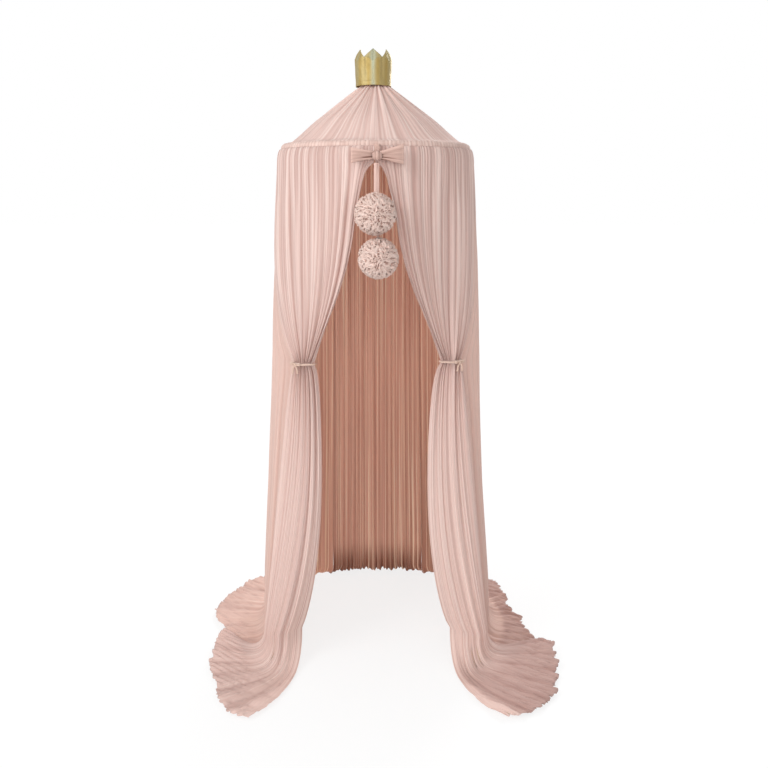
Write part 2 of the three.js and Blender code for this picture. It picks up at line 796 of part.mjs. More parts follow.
function bowLoop(way, length, height, slope) {
  const middle = knot_base + knot_height / 2;
  const start = bow_centre + way * (knot_width / 2 + seat_gap);
  return loft(loop_length_shares.map((share, k) => ovalRing(
    start + way * length * share, -knot_middle, middle + slope * share,
    bow_depth / 2 * loop_depth_shares[k],
    mix(bow_root_height, height, loop_height_shares[k]) / 2, 'across')), false);
}

// Pom-poms: softly lumped balls, each on a flat cord whose rounded end turns under the bow's knot
function pompom({ across, height, radius }) {
  const geometry = new THREE.SphereGeometry(radius, 20, 14).rotateX(QUARTER);
  const position = geometry.attributes.position;
  const point = new THREE.Vector3();
  for (let k = 0; k < position.count; k += 1) {
    point.fromBufferAttribute(position, k);
    const turn = Math.atan2(point.y, point.x);
    const level = point.z / radius;
    const lump = Math.cos(turn * pompom_lump_count) * Math.cos(level * pompom_lump_count) * (1 - level ** 2);
    point.multiplyScalar(1 - pompom_lump / radius * (1 + lump) / 2 * (1 - level ** 2));
    position.setXYZ(k, point.x, point.y, point.z);
  }
  return geometry.translate(across, -pompom_forward, height);
}

function pompomCord(route) {
  const points = route.map(([x, y, z]) => new THREE.Vector3(x, y, z));
  const section = new THREE.Shape(spread(cord_sides).slice(1).map((share) => new THREE.Vector2(
    Math.cos(share * TAU) * cord_width / 2, Math.sin(share * TAU) * cord_thickness / 2)));
  const strip = new THREE.ExtrudeGeometry(section, {
    steps: cord_steps, extrudePath: new THREE.CatmullRomCurve3(points),
  });
  const end = new THREE.CylinderGeometry(cord_width / 2, cord_width / 2, cord_thickness, cord_end_facets);
  end.translate(points[0].x, points[0].y, points[0].z);
  return joined([strip, end]);
}

const canopy = new THREE.Group();
const facings = { front: -QUARTER, right: 0, back: QUARTER, left: Math.PI };

for (let k = 0; k < rod_count; k += 1) {
  canopy.add(piece(`ring_rod_${k + 1}`, rodSegment(k), rod));
  canopy.add(piece(`ring_ferrule_${k + 1}`, ferrule(k), ferrule_plastic));
}
canopy.add(piece('ring_casing', casing(), tape));
for (const [name, middle] of Object.entries(facings)) {
  canopy.add(piece(`roof_${name}`, roofGore(middle), cloth));
}
canopy.add(piece('neck_ring', neckRing(), ferrule_plastic));
canopy.add(piece('neck_binding', neckBinding(), tape));
canopy.add(piece('hanging_loop', hangingLoop(), tape));

const crown = new THREE.Group();
crown.position.x = -crown_shift;
crown.add(piece('crown_band', crownBand(), vinyl));
crown.add(piece('crown_lining', crownLining(), felt));
canopy.add(crown);

canopy.add(piece('back_curtain', backCurtain(), inner_cloth));
for (const side of [left, right]) {
  canopy.add(piece(`${side.name}_side_curtain`, sideCurtain(side), cloth));
  canopy.add(piece(`${side.name}_front_curtain`, frontCurtain(side), cloth));
  canopy.add(tieBand(side));
  canopy.add(tieBow(side));
}

canopy.add(piece('bow_tab', bowTab(), tape));
canopy.add(piece('bow_knot', bowKnot(), cloth));
canopy.add(piece('bow_left_loop', bowLoop(-1, bow_left_length, bow_left_height, bow_slope_left), cloth));
canopy.add(piece('bow_right_loop', bowLoop(1, bow_right_length, bow_right_height, bow_slope_right), cloth));
canopy.add(piece('upper_pompom', pompom(upper_pompom), tulle));
canopy.add(piece('lower_pompom', pompom(lower_pompom), tulle));
canopy.add(piece('upper_pompom_cord', pompomCord(upper_cord_route), ribbon));
canopy.add(piece('lower_pompom_cord', pompomCord(lower_cord_route), ribbon));

canopy.position.z = -loop_crest_height;

const whole = new THREE.Group();
whole.add(canopy);
export default whole;
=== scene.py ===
# Bed crown canopy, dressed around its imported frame. Metres, +Z up, the front faces -Y.
# Heights are written from the floor and are lowered to the frame's origin when a piece is made.
import math
from functools import partial

import bmesh
import bpy
import numpy as np
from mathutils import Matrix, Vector


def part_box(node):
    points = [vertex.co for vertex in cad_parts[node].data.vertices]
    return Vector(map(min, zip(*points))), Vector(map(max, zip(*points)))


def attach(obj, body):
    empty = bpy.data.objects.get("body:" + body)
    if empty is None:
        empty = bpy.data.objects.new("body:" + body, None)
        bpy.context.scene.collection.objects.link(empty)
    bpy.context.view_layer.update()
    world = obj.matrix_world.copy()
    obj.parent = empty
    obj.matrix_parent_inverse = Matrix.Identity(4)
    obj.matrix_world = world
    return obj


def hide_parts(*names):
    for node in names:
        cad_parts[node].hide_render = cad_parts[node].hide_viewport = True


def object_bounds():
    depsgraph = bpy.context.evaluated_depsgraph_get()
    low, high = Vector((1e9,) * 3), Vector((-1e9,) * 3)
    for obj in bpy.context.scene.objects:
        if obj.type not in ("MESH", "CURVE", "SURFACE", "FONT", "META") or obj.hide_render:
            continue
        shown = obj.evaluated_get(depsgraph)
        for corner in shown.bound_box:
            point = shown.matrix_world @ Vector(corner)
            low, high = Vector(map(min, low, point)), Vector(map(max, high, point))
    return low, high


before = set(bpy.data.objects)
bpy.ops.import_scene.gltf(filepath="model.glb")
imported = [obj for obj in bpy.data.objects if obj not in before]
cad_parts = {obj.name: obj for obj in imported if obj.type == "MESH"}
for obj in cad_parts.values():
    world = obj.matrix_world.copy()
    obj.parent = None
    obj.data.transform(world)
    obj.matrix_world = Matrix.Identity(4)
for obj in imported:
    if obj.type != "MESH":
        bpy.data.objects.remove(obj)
cad_low, cad_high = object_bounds()

TAU = math.tau
QUARTER = math.pi / 2
floor_level = cad_low.z

# Rod ring and casing
casing_ring_radius = 0.2768
casing_middle_height = 1.5865
casing_half_width = 0.0115
casing_half_height = 0.0135
casing_opening = math.radians(26)
casing_wall = 0.0010
casing_gathers = 150
casing_gather_share = 0.09
casing_wander_share = 0.07

# Roof and neck
eave_radius = 0.2790
eave_height = 1.5985
eave_sag = 0.009
shoulder_radius = 0.038
shoulder_height = 1.770
neck_radius = 0.0285
throat_height = 1.779
neck_top_height = 1.799
slope_end = 0.72
throat_end = 0.86
roof_pleat_counts = (27, 90, 210)
roof_wide_depths = (0.0005, 0.0042)
roof_narrow_depths = (0.0007, 0.0005)
roof_gather_depth = 0.0009
binding_radius = 0.0312
binding_height = 0.015
binding_wall = 0.0016
loop_crest_height = 1.838
strap_width = 0.010
strap_thickness = 0.0015
strap_outer_radius = 0.01917
strap_foot_height = 1.7832
strap_foot_reach = 0.004
strap_leg_share = 0.25
strap_foot_share = 0.04

# Crown
crown_shift = 0.0065
crown_base_height = 1.7677
crown_base_radius = 0.0540
crown_rim_radius = 0.0565
crown_valley_rise = 0.079
crown_point_rise = 0.024
crown_points = 6
crown_fold_below = 0.003
crown_fold_drop = 0.011
crown_lean = 0.36
crown_wall = 0.0016
crown_inset = 0.0006
crown_crease = 0.0014
crown_hem_rise = 0.0105
lining_inset = 0.0019
lining_wall = 0.001
lining_foot_rise = 0.004
lining_below_valley = 0.017

# Curtains
seam_radius = 0.2888
seam_height = 1.5850
bulge_radius = 0.3010
bulge_height = 1.540
side_foot_radius = 0.391
back_foot_radius = 0.326
floor_lie = 0.009
least_lie = 0.0012
side_bend_radius = 0.042
front_bend_radius = 0.100
side_front_angle = math.radians(8)
side_back_angle = math.radians(61)
pool_least_reach = 0.030
cloth_wall = 0.0009
hem_inset = 0.006
back_hem_size = 0.8
wide_lobes = (0.004, 0.020)
small_lobes = (0.001, 0.012)

# Where the shoulder, the hung cloth and the bend to the floor end, as shares of a sheet's length
side_ends = (0.07, 0.72, 0.79)
# The same of a front curtain, whose hung cloth is drawn, tied and flared
front_ends = (0.06, 0.44, 0.46, 0.74, 0.81)
# Depths of the wide, narrow and fine pleats: at the seam, where they hang, and the share left on the floor
side_pleat_depths = ((0.0002, 0.0038, 0.65), (0.0006, 0.0042, 0.20), (0.0015, 0.0009, 0.20))
back_ruffles = 26
back_ruffle_depth = 0.0060

# Drawn front curtains
outer_bulge = 0.014
inner_edge_places = (0, 0.035, 0.127, 0.245, 0.377, 0.507, 0.643, 0.788, 0.900, 1)
inner_edge_powers = (0.62, 0.62, 0.76, 0.88, 1.08, 1.20, 1.22, 1.15, 1.05, 1.05)
outer_edge_power = 5.5
forward_powers = (3.0, 1.55)
flare_powers = (1.0, 4.0)
puff_size = 0.008
bundle_half_width = 0.033
bundle_end_share = 0.9
bundle_neck_height = 0.011
bundle_turn = math.radians(15)
tie_across = 0.0385
tie_deep = 0.0217
foot_outer = (0.358, 0.238)
foot_bend = (0.335, 0.345)
foot_inner = (0.235, 0.250)
fan_centre = (0.310, 0.220)
fan_way_outer = (0.430, 0.200)
fan_way_inner = (0.250, 0.472)
fan_lobes = 13
over_side_rise = 0.014
front_pleat_counts = (6, 15, 41)
# Their depths at the seam, below it, in the bundle, and where they hang and lie, outer to inner edge
wide_depths = (0.0002, 0.0038, 0.014, (0.0040, 0.0085), (0.0028, 0.0058))
narrow_depths = (0.0006, 0.0047, 0.0046, (0.0018, 0.0018), (0.0004, 0.0016))
fine_pleat_depths = (0.0015, 0.0005, 0.0002)

left = {
    "name": "left", "sign": -1, "tie_out": 0.216, "tie_forward": 0.200, "tie_height": 0.958, "seed": 11,
    "inner_swell": 0.015, "pool_shade": 0.10, "hung_shade": 0.06, "hem_size": 0.6,
    "pool_angles": (-33, -10, 2, 12, 25, 35, 50, 61),
    "pool_reaches": (0.060, 0.092, 0.138, 0.132, 0.120, 0.100, 0.044, 0.030),
    "fan_angles": (-28, 6, 22, 46, 68, 82),
    "fan_reaches": (0.230, 0.216, 0.226, 0.252, 0.332, 0.354),
}
right = {
    "name": "right", "sign": 1, "tie_out": 0.227, "tie_forward": 0.200, "tie_height": 0.966, "seed": 37,
    "inner_swell": 0.033, "pool_shade": 0.72, "hung_shade": 0.30, "hem_size": 1.1,
    "pool_angles": (-33, -18, -10, 0, 8, 23, 34, 50, 61),
    "pool_reaches": (0.090, 0.118, 0.074, 0.046, 0.038, 0.064, 0.074, 0.036, 0.030),
    "fan_angles": (-10, 5, 23, 34, 50, 62, 80),
    "fan_reaches": (0.248, 0.250, 0.278, 0.284, 0.322, 0.350, 0.352),
}

# Bow and ties
knot_middle = (0.007, -0.3168, 1.5570)
knot_width = 0.026
knot_height = 0.024
knot_depth = 0.024
tab_rounding = 0.002
loop_overlap = knot_width * 0.14
bow_ribbon = {"depth": 0.020, "creases": 3.2, "middle": 0.035, "wall": 0.0009, "flat": (0.13, 0.045),
              "grid": (44, 22)}
left_loop = {"length": 0.060 + loop_overlap, "heights": (0.021, 0.040), "rise": -0.0010,
             "crease_middle": -0.22, "root": 1.5590, **bow_ribbon}
right_loop = {"length": 0.061 + loop_overlap, "heights": (0.021, 0.056), "rise": 0.0030,
              "crease_middle": -0.20, "root": 1.5580, **bow_ribbon}
knot_ring = {"axes": (knot_depth / 2, knot_height / 2), "width": knot_width, "upright": True, "creases": 2.0,
             "wave": 0.0009, "rounding": 0.5, "wall": 0.0012, "flat": (0.085, 0.03), "grid": (56, 12)}
tie_ring = {"axes": (tie_across, tie_deep), "width": 0.007, "upright": False, "creases": 1.0,
            "wave": 0.0003, "rounding": 0.25, "wall": 0.0008, "flat": (0.20, 0.008), "grid": (96, 6)}
small_knot_ring = {"axes": (0.0034, 0.0042), "width": 0.006, "upright": True, "creases": 1.0,
                   "wave": 0.0003, "rounding": 0.25, "wall": 0.0006, "flat": (0.03, 0.006), "grid": (20, 6)}
small_loop = {"length": 0.017, "depth": 0.005, "heights": (0.004, 0.011), "rise": 0.002, "creases": 1.0,
              "crease_middle": 0.0, "middle": 0.009, "wall": 0.0005, "flat": (0.04, 0.008), "grid": (20, 6)}
tail_wall = 0.0005
tail_width = 0.005
tail_length = 0.026

# Pom-poms and cords
pompom_forward = 0.372
upper_ball_radius = 0.0580
lower_ball_radius = 0.0571
petals = 760
petal_root_share = 0.82
petal_wall = 0.0004
hub_share = 0.87
sunk_share = 0.05
cord_width = 0.008
cord_thickness = 0.0024
upper_cord_route = [(0.002, y, z) for y, z in (
    (-0.3165, 1.538), (-0.3174, 1.533), (-0.3196, 1.526), (-0.3223, 1.519), (-0.3251, 1.512),
    (-0.3279, 1.505), (-0.3308, 1.498), (-0.3336, 1.491), (-0.3364, 1.484), (-0.3392, 1.477),
    (-0.3420, 1.470), (-0.3448, 1.463), (-0.3473, 1.45695))]
lower_cord_route = [(0.009, y, z) for y, z in (
    (-0.3108, 1.538), (-0.311, 1.524), (-0.311, 1.508), (-0.311, 1.490), (-0.311, 1.472), (-0.311, 1.454),
    (-0.311, 1.436), (-0.311, 1.418), (-0.311, 1.400), (-0.311, 1.382), (-0.311, 1.366), (-0.311, 1.353),
    (-0.3114, 1.345), (-0.3129, 1.3384), (-0.3158, 1.3324), (-0.3199, 1.3274), (-0.32716, 1.32103))]


# Small helpers
def mix(a, b, share):
    return a + (b - a) * share


def staged(stages, first, *others):
    """A size that goes on to the next of its values as each stage goes from 0 to 1."""
    for stage, other in zip(stages, others):
        first = mix(first, other, stage)
    return first


def part(value, start, end):
    """How far value has come from start to end, from 0 to 1."""
    return np.clip((value - start) / (end - start), 0, 1)


def parts_down(v, ends):
    """How far v has come along each stretch of a sheet, for stretches with the given ends."""
    return [part(v, start, end) for start, end in zip((0, *ends), (*ends, 1))]


def smooth(share):
    share = np.clip(share, 0, 1)
    return share * share * (3 - 2 * share)


def near(value, width):
    """1 where value is 0, falling to nearly 0 at twice the width."""
    return np.exp(-(value / width) ** 2)


def curve(start, way, end, share):
    """A place on a curve that leaves start towards way and comes to end."""
    return (1 - share) ** 2 * start + 2 * share * (1 - share) * way + share ** 2 * end


def lowered(x, y, z):
    """A point, or columns of points, given from the floor."""
    return np.stack(np.broadcast_arrays(x, y, z + floor_level), axis=-1).astype(float)


def around(angle, radius, height):
    """Points round the middle of the canopy."""
    return lowered(np.cos(angle) * radius, np.sin(angle) * radius, height)


def wander(seed, *places):
    """A slow wave between about -1 and 1 that differs with its seed."""
    dice = np.random.default_rng(seed)
    total = 0
    for octave in (1.0, 2.1, 4.3):
        phase = dice.uniform(0, TAU)
        pace = dice.uniform(0.7, 1.3, len(places))
        total = total + np.sin(octave * sum(p * q for p, q in zip(pace, places)) + phase) / octave
    return total / 1.7


def pinched(pleat):
    """Round ridges with narrow valleys at whole numbers, from -0.9 to 0.9."""
    return 2 * np.sqrt(np.sin(math.pi * pleat) ** 2 + 0.012) - 1.1


def tint(red, green, blue):
    """A colour in 0 to 255 as the linear values that a shader takes."""
    shares = [c / 255 for c in (red, green, blue)]
    return (*(((c + 0.055) / 1.055) ** 2.4 if c > 0.04 else c / 12.92 for c in shares), 1.0)


def unit(vector):
    return vector / np.linalg.norm(vector)


def linked(name, data):
    obj = bpy.data.objects.new(name, data)
    bpy.context.scene.collection.objects.link(obj)
    return obj


def finished(name, shape):
    """Closes a bmesh into a smooth object."""
    mesh = bpy.data.meshes.new(name)
    shape.to_mesh(mesh)
    shape.free()
    mesh.shade_smooth()
    return linked(name, mesh)


def read_rows(items, key):
    """Three values of each item, such as its place, as rows."""
    values = np.empty(len(items) * 3)
    items.foreach_get(key, values)
    return values.reshape(-1, 3)


def set_look(mesh, name, values):
    """Gives each point a value that the material reads."""
    attribute = mesh.attributes.new(name, "FLOAT", "POINT")
    values = np.broadcast_to(values, len(mesh.vertices)).astype(np.float32)
    attribute.data.foreach_set("value", values)


# Camera
def make_camera():
    data = bpy.data.cameras.new("photo_camera")
    data.sensor_width = 36
    data.lens = 38.204
    camera = linked("photo_camera", data)
    camera.location = (0.02545, -2.6, 1.4738 + floor_level)
    camera.rotation_euler = (math.radians(90 - 13.569), 0, 0)
    bpy.context.scene.camera = camera


make_camera()


# Nodes of materials and of the world
def feed(owner, source, socket):
    """Links a socket to an output, or sets it to a value."""
    if hasattr(source, "links"):
        owner.node_tree.links.new(source, socket)
    else:
        socket.default_value = source


def fill(owner, node, inputs):
    for key, source in inputs.items():
        feed(owner, source, node.inputs[key])


def add_node(owner, kind, inputs, **settings):
    node = owner.node_tree.nodes.new(f"ShaderNode{kind}")
    for key, value in settings.items():
        setattr(node, key, value)
    fill(owner, node, inputs)
    return node


def blank_material(name):
    material = bpy.data.materials.new(name)
    material.use_nodes = True
    return material, material.node_tree.nodes["Principled BSDF"]


def place_of(material):
    return add_node(material, "TexCoord", {}).outputs["Object"]


def read_look(material, name):
    return add_node(material, "Attribute", {}, attribute_name=name).outputs["Fac"]


def noise(material, place, scale, detail):
    inputs = {"Vector": place, "Scale": scale, "Detail": detail}
    return add_node(material, "TexNoise", inputs).outputs["Fac"]


def streaks(material, flat, paces, detail=3.0):
    """Noise whose grains are drawn out along the cloth."""
    drawn_out = add_node(material, "Mapping", {"Vector": flat, "Scale": paces})
    return noise(material, drawn_out.outputs["Vector"], 1.0, detail)


def ranged(material, value, low, high, start=0.3, end=0.7):
    """Low where the value is at start, and high where it is at end."""
    inputs = {"Value": value, "From Min": start, "From Max": end, "To Min": low, "To Max": high}
    return add_node(material, "MapRange", inputs).outputs["Result"]


def combined(owner, operation, first, second):
    return add_node(owner, "Math", {0: first, 1: second}, operation=operation).outputs[0]


def colour_mix(material, share, first, second):
    """A colour that goes from the first to the second. The node's colours are its sockets 6 and 7."""
    return add_node(material, "Mix", {0: share, 6: first, 7: second}, data_type="RGBA").outputs[2]


def shader_mix(material, share, first, second):
    """Shows a share of the second shader on the surface, and the first for the rest."""
    blended = add_node(material, "MixShader", {0: share, 1: first.outputs[0], 2: second.outputs[0]})
    fill(material, material.node_tree.nodes["Material Output"], {"Surface": blended.outputs[0]})


def bump(material, shader, height, strength, distance, lower=None):
    inputs = {"Strength": strength, "Distance": distance, "Height": height}
    if lower is not None:
        inputs["Normal"] = lower
    normal = add_node(material, "Bump", inputs).outputs["Normal"]
    fill(material, shader, {"Normal": normal})
    return normal


# Cloth. The streaks, painted light and shade of fine pleats, have their paces across and down it, and where
# in the noise they begin and are full.
pale_paces = (210, 0.9, 1)
pale_range = (0.50, 0.66)
dim_paces = (165, 0.7, 1)
dim_range = (0.53, 0.67)
thread_paces = (900, 3, 1)
slit_paces = (190, 1.1, 1)
slit_range = (0.59, 0.64)
slit_see_through = 0.92
laid_streak_share = 0.3
cloth_sockets = {"Roughness": 0.9, "Sheen Roughness": 0.45, "Specular IOR Level": 0.15}


def cloth_material(name, ridge, valley, streak, sheen=0.2, see_through=0.25, dark=0.35, glow=0.75,
                   deep=None, slits=None):
    """Pleated tulle that lets light through, with pale and dark streaks that run down the cloth, painted
    light and shade of fine pleats. The fold value takes it from the ridge colour to the valley colour,
    painted pleat shade.

    The streaks fade where it lies on the floor. Its shaded places turn to the deep colour, painted shade, and
    a few slits in it are thin enough to let more light through, with a pale colour of painted light shining
    through."""
    material, shader = blank_material(name)
    flat = add_node(material, "UVMap", {}, uv_map="cloth").outputs["UV"]
    left_over = ranged(material, read_look(material, "laid"), 1, laid_streak_share, 0, 1)
    pale = ranged(material, streaks(material, flat, pale_paces), 0, glow, *pale_range)
    pale = combined(material, "MULTIPLY", pale, left_over)
    dim = ranged(material, streaks(material, flat, dim_paces), 0, dark, *dim_range)
    dim = combined(material, "MULTIPLY", dim, left_over)
    thread = ranged(material, streaks(material, flat, thread_paces, 2.0), 0, 1)
    # Painted pleat shade from the fold value, then the painted light and shade of the streaks.
    colour = colour_mix(material, read_look(material, "fold"), tint(*valley), tint(*ridge))
    colour = colour_mix(material, dim, colour, tint(*valley))
    colour = colour_mix(material, pale, colour, tint(*streak))
    if deep:
        colour = colour_mix(material, read_look(material, "shade"), colour, tint(*deep))
    # The slits' pale colour is painted light shining through them.
    if slits:
        thin = ranged(material, streaks(material, flat, slit_paces, 1.0), 0, 1, *slit_range)
        colour = colour_mix(material, thin, colour, tint(*slits))
        see_through = ranged(material, thin, see_through, slit_see_through, 0, 1)
    fill(material, shader, {"Base Color": colour, "Sheen Weight": sheen, **cloth_sockets})
    lower = bump(material, shader, pale, 0.30, 0.0012)
    bump(material, shader, thread, 0.25, 0.0004, lower)
    if see_through:
        shader_mix(material, see_through, shader, add_node(material, "BsdfTranslucent", {"Color": colour}))
    return material


# Each valley colour is painted shade in the pleats' hollows, and each streak colour painted light on fine
# pleats. roof_tulle is the curtains' tulle made paler, painted light on the roof that faces up to the lights;
# side_tulle has paler painted valleys and fainter painted streaks. shaded_tulle, the inner side, is warmer:
# painted light bounced inside the canopy, with a deep colour of painted shade at the back curtain's foot.
shaded_blush = (194, 160, 152)
outer_tulle = cloth_material("blush_tulle", (238, 214, 206), (204, 170, 161), (246, 229, 222),
                             dark=0.75, deep=shaded_blush)
side_tulle = cloth_material("side_tulle", (243, 216, 205), (220, 188, 177), (248, 227, 218),
                            dark=0.3, glow=0.5, deep=shaded_blush)
roof_tulle = cloth_material("roof_tulle", (252, 229, 221), (206, 167, 156), (253, 236, 229))
inner_tulle = cloth_material("shaded_tulle", (248, 216, 199), (214, 172, 155), (255, 236, 214), sheen=0.1,
                             see_through=0.46, glow=0.9, deep=(146, 92, 68), slits=(255, 248, 232))
bow_tulle = cloth_material("bow_tulle", (216, 182, 170), (112, 68, 54), (222, 190, 178), see_through=0.1)
ribbon_weave = cloth_material("ribbon_weave", (226, 198, 182), (176, 140, 122), (236, 212, 198),
                              see_through=0.1)
casing_weave = cloth_material("casing_weave", (235, 208, 198), (204, 170, 159), (240, 217, 208),
                              see_through=0.1)
frill_tulle = cloth_material("frill_tulle", (255, 236, 227), (190, 146, 132), (255, 237, 228),
                             see_through=0.35, dark=0.15)
cord_weave = cloth_material("cord_weave", (233, 201, 189), (204, 168, 156), (238, 208, 197), see_through=0.1)
felt = cloth_material("crown_felt", (196, 178, 126), (160, 142, 96), (204, 188, 140), see_through=0.0)


def gold_material():
    """Metallic vinyl with a painted highlight and painted shade on its facets, placed by the fold value, soft
    creases and a fine leather grain.
    """
    material, shader = blank_material("gold_vinyl")
    place = place_of(material)
    cloud = noise(material, place, 26.0, 3.0)
    grain = noise(material, place, 900.0, 2.0)
    facet_highlight_and_shade = colour_mix(material, read_look(material, "fold"), tint(164, 140, 80), tint(172, 176, 152))
    colour = colour_mix(material, ranged(material, cloud, 0, 0.5), facet_highlight_and_shade, tint(168, 148, 94))
    fill(material, shader, {"Base Color": colour, "Roughness": 0.54, "Metallic": 0.62})
    lower = bump(material, shader, cloud, 0.4, 0.004)
    bump(material, shader, grain, 0.2, 0.0003, lower)
    return material


def plain_material(name, colour, darker, roughness, metallic=0.0, scale=120.0):
    """A moulded or painted surface with faint cloudy wear."""
    material, shader = blank_material(name)
    cloud = noise(material, place_of(material), scale, 4.0)
    colour = colour_mix(material, ranged(material, cloud, 0, 1), tint(*darker), tint(*colour))
    fill(material, shader, {"Base Color": colour, "Roughness": roughness, "Metallic": metallic})
    bump(material, shader, cloud, 0.15, 0.0003)
    return material


gold_vinyl = gold_material()
rod_paint = plain_material("rod_paint", (222, 221, 216), (205, 204, 199), 0.35, 0.2)
white_plastic = plain_material("white_plastic", (232, 229, 222), (220, 216, 208), 0.5)
plain_tape = plain_material("plain_tape", (212, 180, 168), (190, 156, 144), 0.85, scale=400.0)


# Sheets of cloth
def formed_sheet(name, grid, place, flat, wrapped=False, woven_along=False, capped=False):
    """A grid that place(u, v) puts in the frame: u runs across, v runs down. It keeps its cut size as UVs.

    place gives the points, how much each is on a ridge, and for a curtain how shaded each is and how far
    it lies on the floor.
    The threads run down the sheet, or across it in a ribbon that is woven along."""
    cloth = bmesh.new()
    cloth.loops.layers.uv.new("cloth")
    bmesh.ops.create_grid(cloth, x_segments=grid[0], y_segments=grid[1], size=0.5, calc_uvs=True)
    obj = finished(name, cloth)
    mesh = obj.data
    spots = read_rows(mesh.vertices, "co")
    points, *looks = place(spots[:, 0] + 0.5, 0.5 - spots[:, 1])
    mesh.vertices.foreach_set("co", points.ravel())
    for title, values in zip(("fold", "shade", "laid"), looks):
        set_look(mesh, title, values)
    layer = mesh.uv_layers["cloth"]
    corners = np.empty(len(mesh.loops) * 2)
    layer.uv.foreach_get("vector", corners)
    corners = corners.reshape(-1, 2) * flat
    if woven_along:
        corners = corners[:, ::-1]
    layer.uv.foreach_set("vector", corners.ravel())
    mesh.update()
    if wrapped:
        merge(mesh, capped)
    return obj


def merge(mesh, capped):
    """Joins a sheet's two sides where they meet, and closes the ends of a tube."""
    shape = bmesh.new()
    shape.from_mesh(mesh)
    bmesh.ops.remove_doubles(shape, verts=shape.verts, dist=1e-5)
    if capped:
        bmesh.ops.holes_fill(shape, edges=[e for e in shape.edges if e.is_boundary], sides=0)
        bmesh.ops.recalc_face_normals(shape, faces=shape.faces)
    shape.to_mesh(mesh)
    shape.free()


def face_outwards(obj, inside):
    """Turns a sheet so that its faces look away from a place."""
    away = read_rows(obj.data.polygons, "center") - np.array(inside)
    if (away * read_rows(obj.data.polygons, "normal")).sum() < 0:
        obj.data.flip_normals()


def thicken(obj, wall, offset=-1.0, inner=False):
    """Gives a sheet its thickness: inwards at offset -1, and inner puts its second material there."""
    solid = obj.modifiers.new("wall", "SOLIDIFY")
    solid.thickness = wall
    solid.offset = offset
    solid.use_rim = True
    if inner:
        solid.material_offset = 1


def walled(obj, inside, wall, offset=-1.0, inner=False):
    """A thick sheet that faces away from inside, which is given from the floor."""
    face_outwards(obj, (inside[0], inside[1], inside[2] + floor_level))
    thicken(obj, wall, offset, inner)
    return obj


def dressed(obj, slot, nodes, *materials, body="root"):
    for material in materials:
        obj.data.materials.append(material)
    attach(obj, body)
    if nodes:
        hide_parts(*nodes)


def folded_out(base, u, v, depth, lean, facing):
    """Points of a sheet moved out along its level normal, which leans up where the cloth lies down."""
    step = 1e-3
    across = base(u + step, v) - base(u - step, v)
    level = np.stack([-across[:, 1], across[:, 0]], axis=1) * facing
    level /= np.maximum(np.linalg.norm(level, axis=1), 1e-9)[:, None]
    points = base(u, v)
    points[:, :2] += level * (depth * np.cos(lean))[:, None]
    points[:, 2] += depth * np.sin(lean)
    return points


def pleats(u, v, count, seed, edge_fixed, drift=0.35):
    """Uneven pleats from -0.7 to 1.1: valleys lie at whole numbers, and each ridge has its own height."""
    spare = 4
    stages = 4
    last = count + 3 * spare - 1
    hold = np.sin(math.pi * np.clip(u, 0, 1)) if edge_fixed else 1.0
    wave = wander(seed, u * count * 0.8, v * 1.3) + 0.35 * wander(seed + 5, u * 3, v * 6)
    place = u * count + drift * hold * wave
    heights = np.random.default_rng(seed).uniform(0.05, 1.0, (stages + 1, last + 1)) ** 0.8
    cell = np.clip(np.floor(place).astype(int) + spare, 0, last)
    stage = np.clip(v, 0, 1) * stages
    row = np.minimum(stage.astype(int), stages - 1)
    tall = mix(heights[row, cell], heights[row + 1, cell], smooth(stage - row))
    return (pinched(place) + 0.88) * tall - 0.7


def three_pleats(u, v, counts, seed, edge_fixed, drifts):
    """Wide, narrow and fine pleats."""
    sets = enumerate(zip(counts, drifts))
    return [pleats(u, v, count, seed + k, edge_fixed, drift) for k, (count, drift) in sets]


def fold_value(broad, narrow, hair):
    """Painted pleat shade: ridges near 1 and valleys near 0, for the colour of the cloth."""
    return np.clip(0.55 + 0.13 * broad + 0.26 * narrow + 0.20 * hair, 0, 1)


# The cloth on the floor
def hem_scallop(u, count, seed):
    """The uneven edge that gathered cloth makes on the floor: wide lobes with small steps on them."""
    wide = hem_lobes(u, max(count // 2, 3), seed, wide_lobes)
    return wide + hem_lobes(u, count * 2, seed + 1, small_lobes)


def hem_lobes(u, count, seed, sizes):
    spare = 3
    place = u * count + 0.35 * wander(seed, u * count * 0.7)
    size = np.random.default_rng(seed).uniform(*sizes, count + 8)
    cell = np.clip(np.floor(place).astype(int) + spare, 0, count + 7)
    across = (place - np.floor(place)) ** 0.45
    return size[cell] * np.sin(math.pi * across) ** 0.6


def rumple(points, seed, pace=34):
    """Slow humps over the floor, from 0 to about 1."""
    x, y = points[:, 0] * pace, points[:, 1] * pace
    return 0.5 + 0.5 * wander(seed, x, y * 0.6) * wander(seed + 1, x * 0.7, -y)


def crumple(points, seed, pace=75):
    """Short soft creases over the floor, from 0 to about 1."""
    x, y = points[:, 0] * pace, points[:, 1] * pace
    return np.abs(wander(seed + 2, x + 0.5 * y, y * 0.8))


def laid_down(points, seed, pool, humps, creases, sink):
    """Rumples the part of a curtain that lies on the floor, and keeps it above the floor."""
    points[:, 2] += pool * (humps * rumple(points, seed) + creases * crumple(points, seed) - sink)
    points[:, 2] = np.maximum(points[:, 2], floor_level + least_lie)
    return points


def hollows(points, seed, broad, crease_share, valley_share):
    """Painted shade in the bottoms of the soft creases and of the wide folds."""
    return crease_share * near(crumple(points, seed), 0.13) + valley_share * near(broad + 0.7, 0.22)


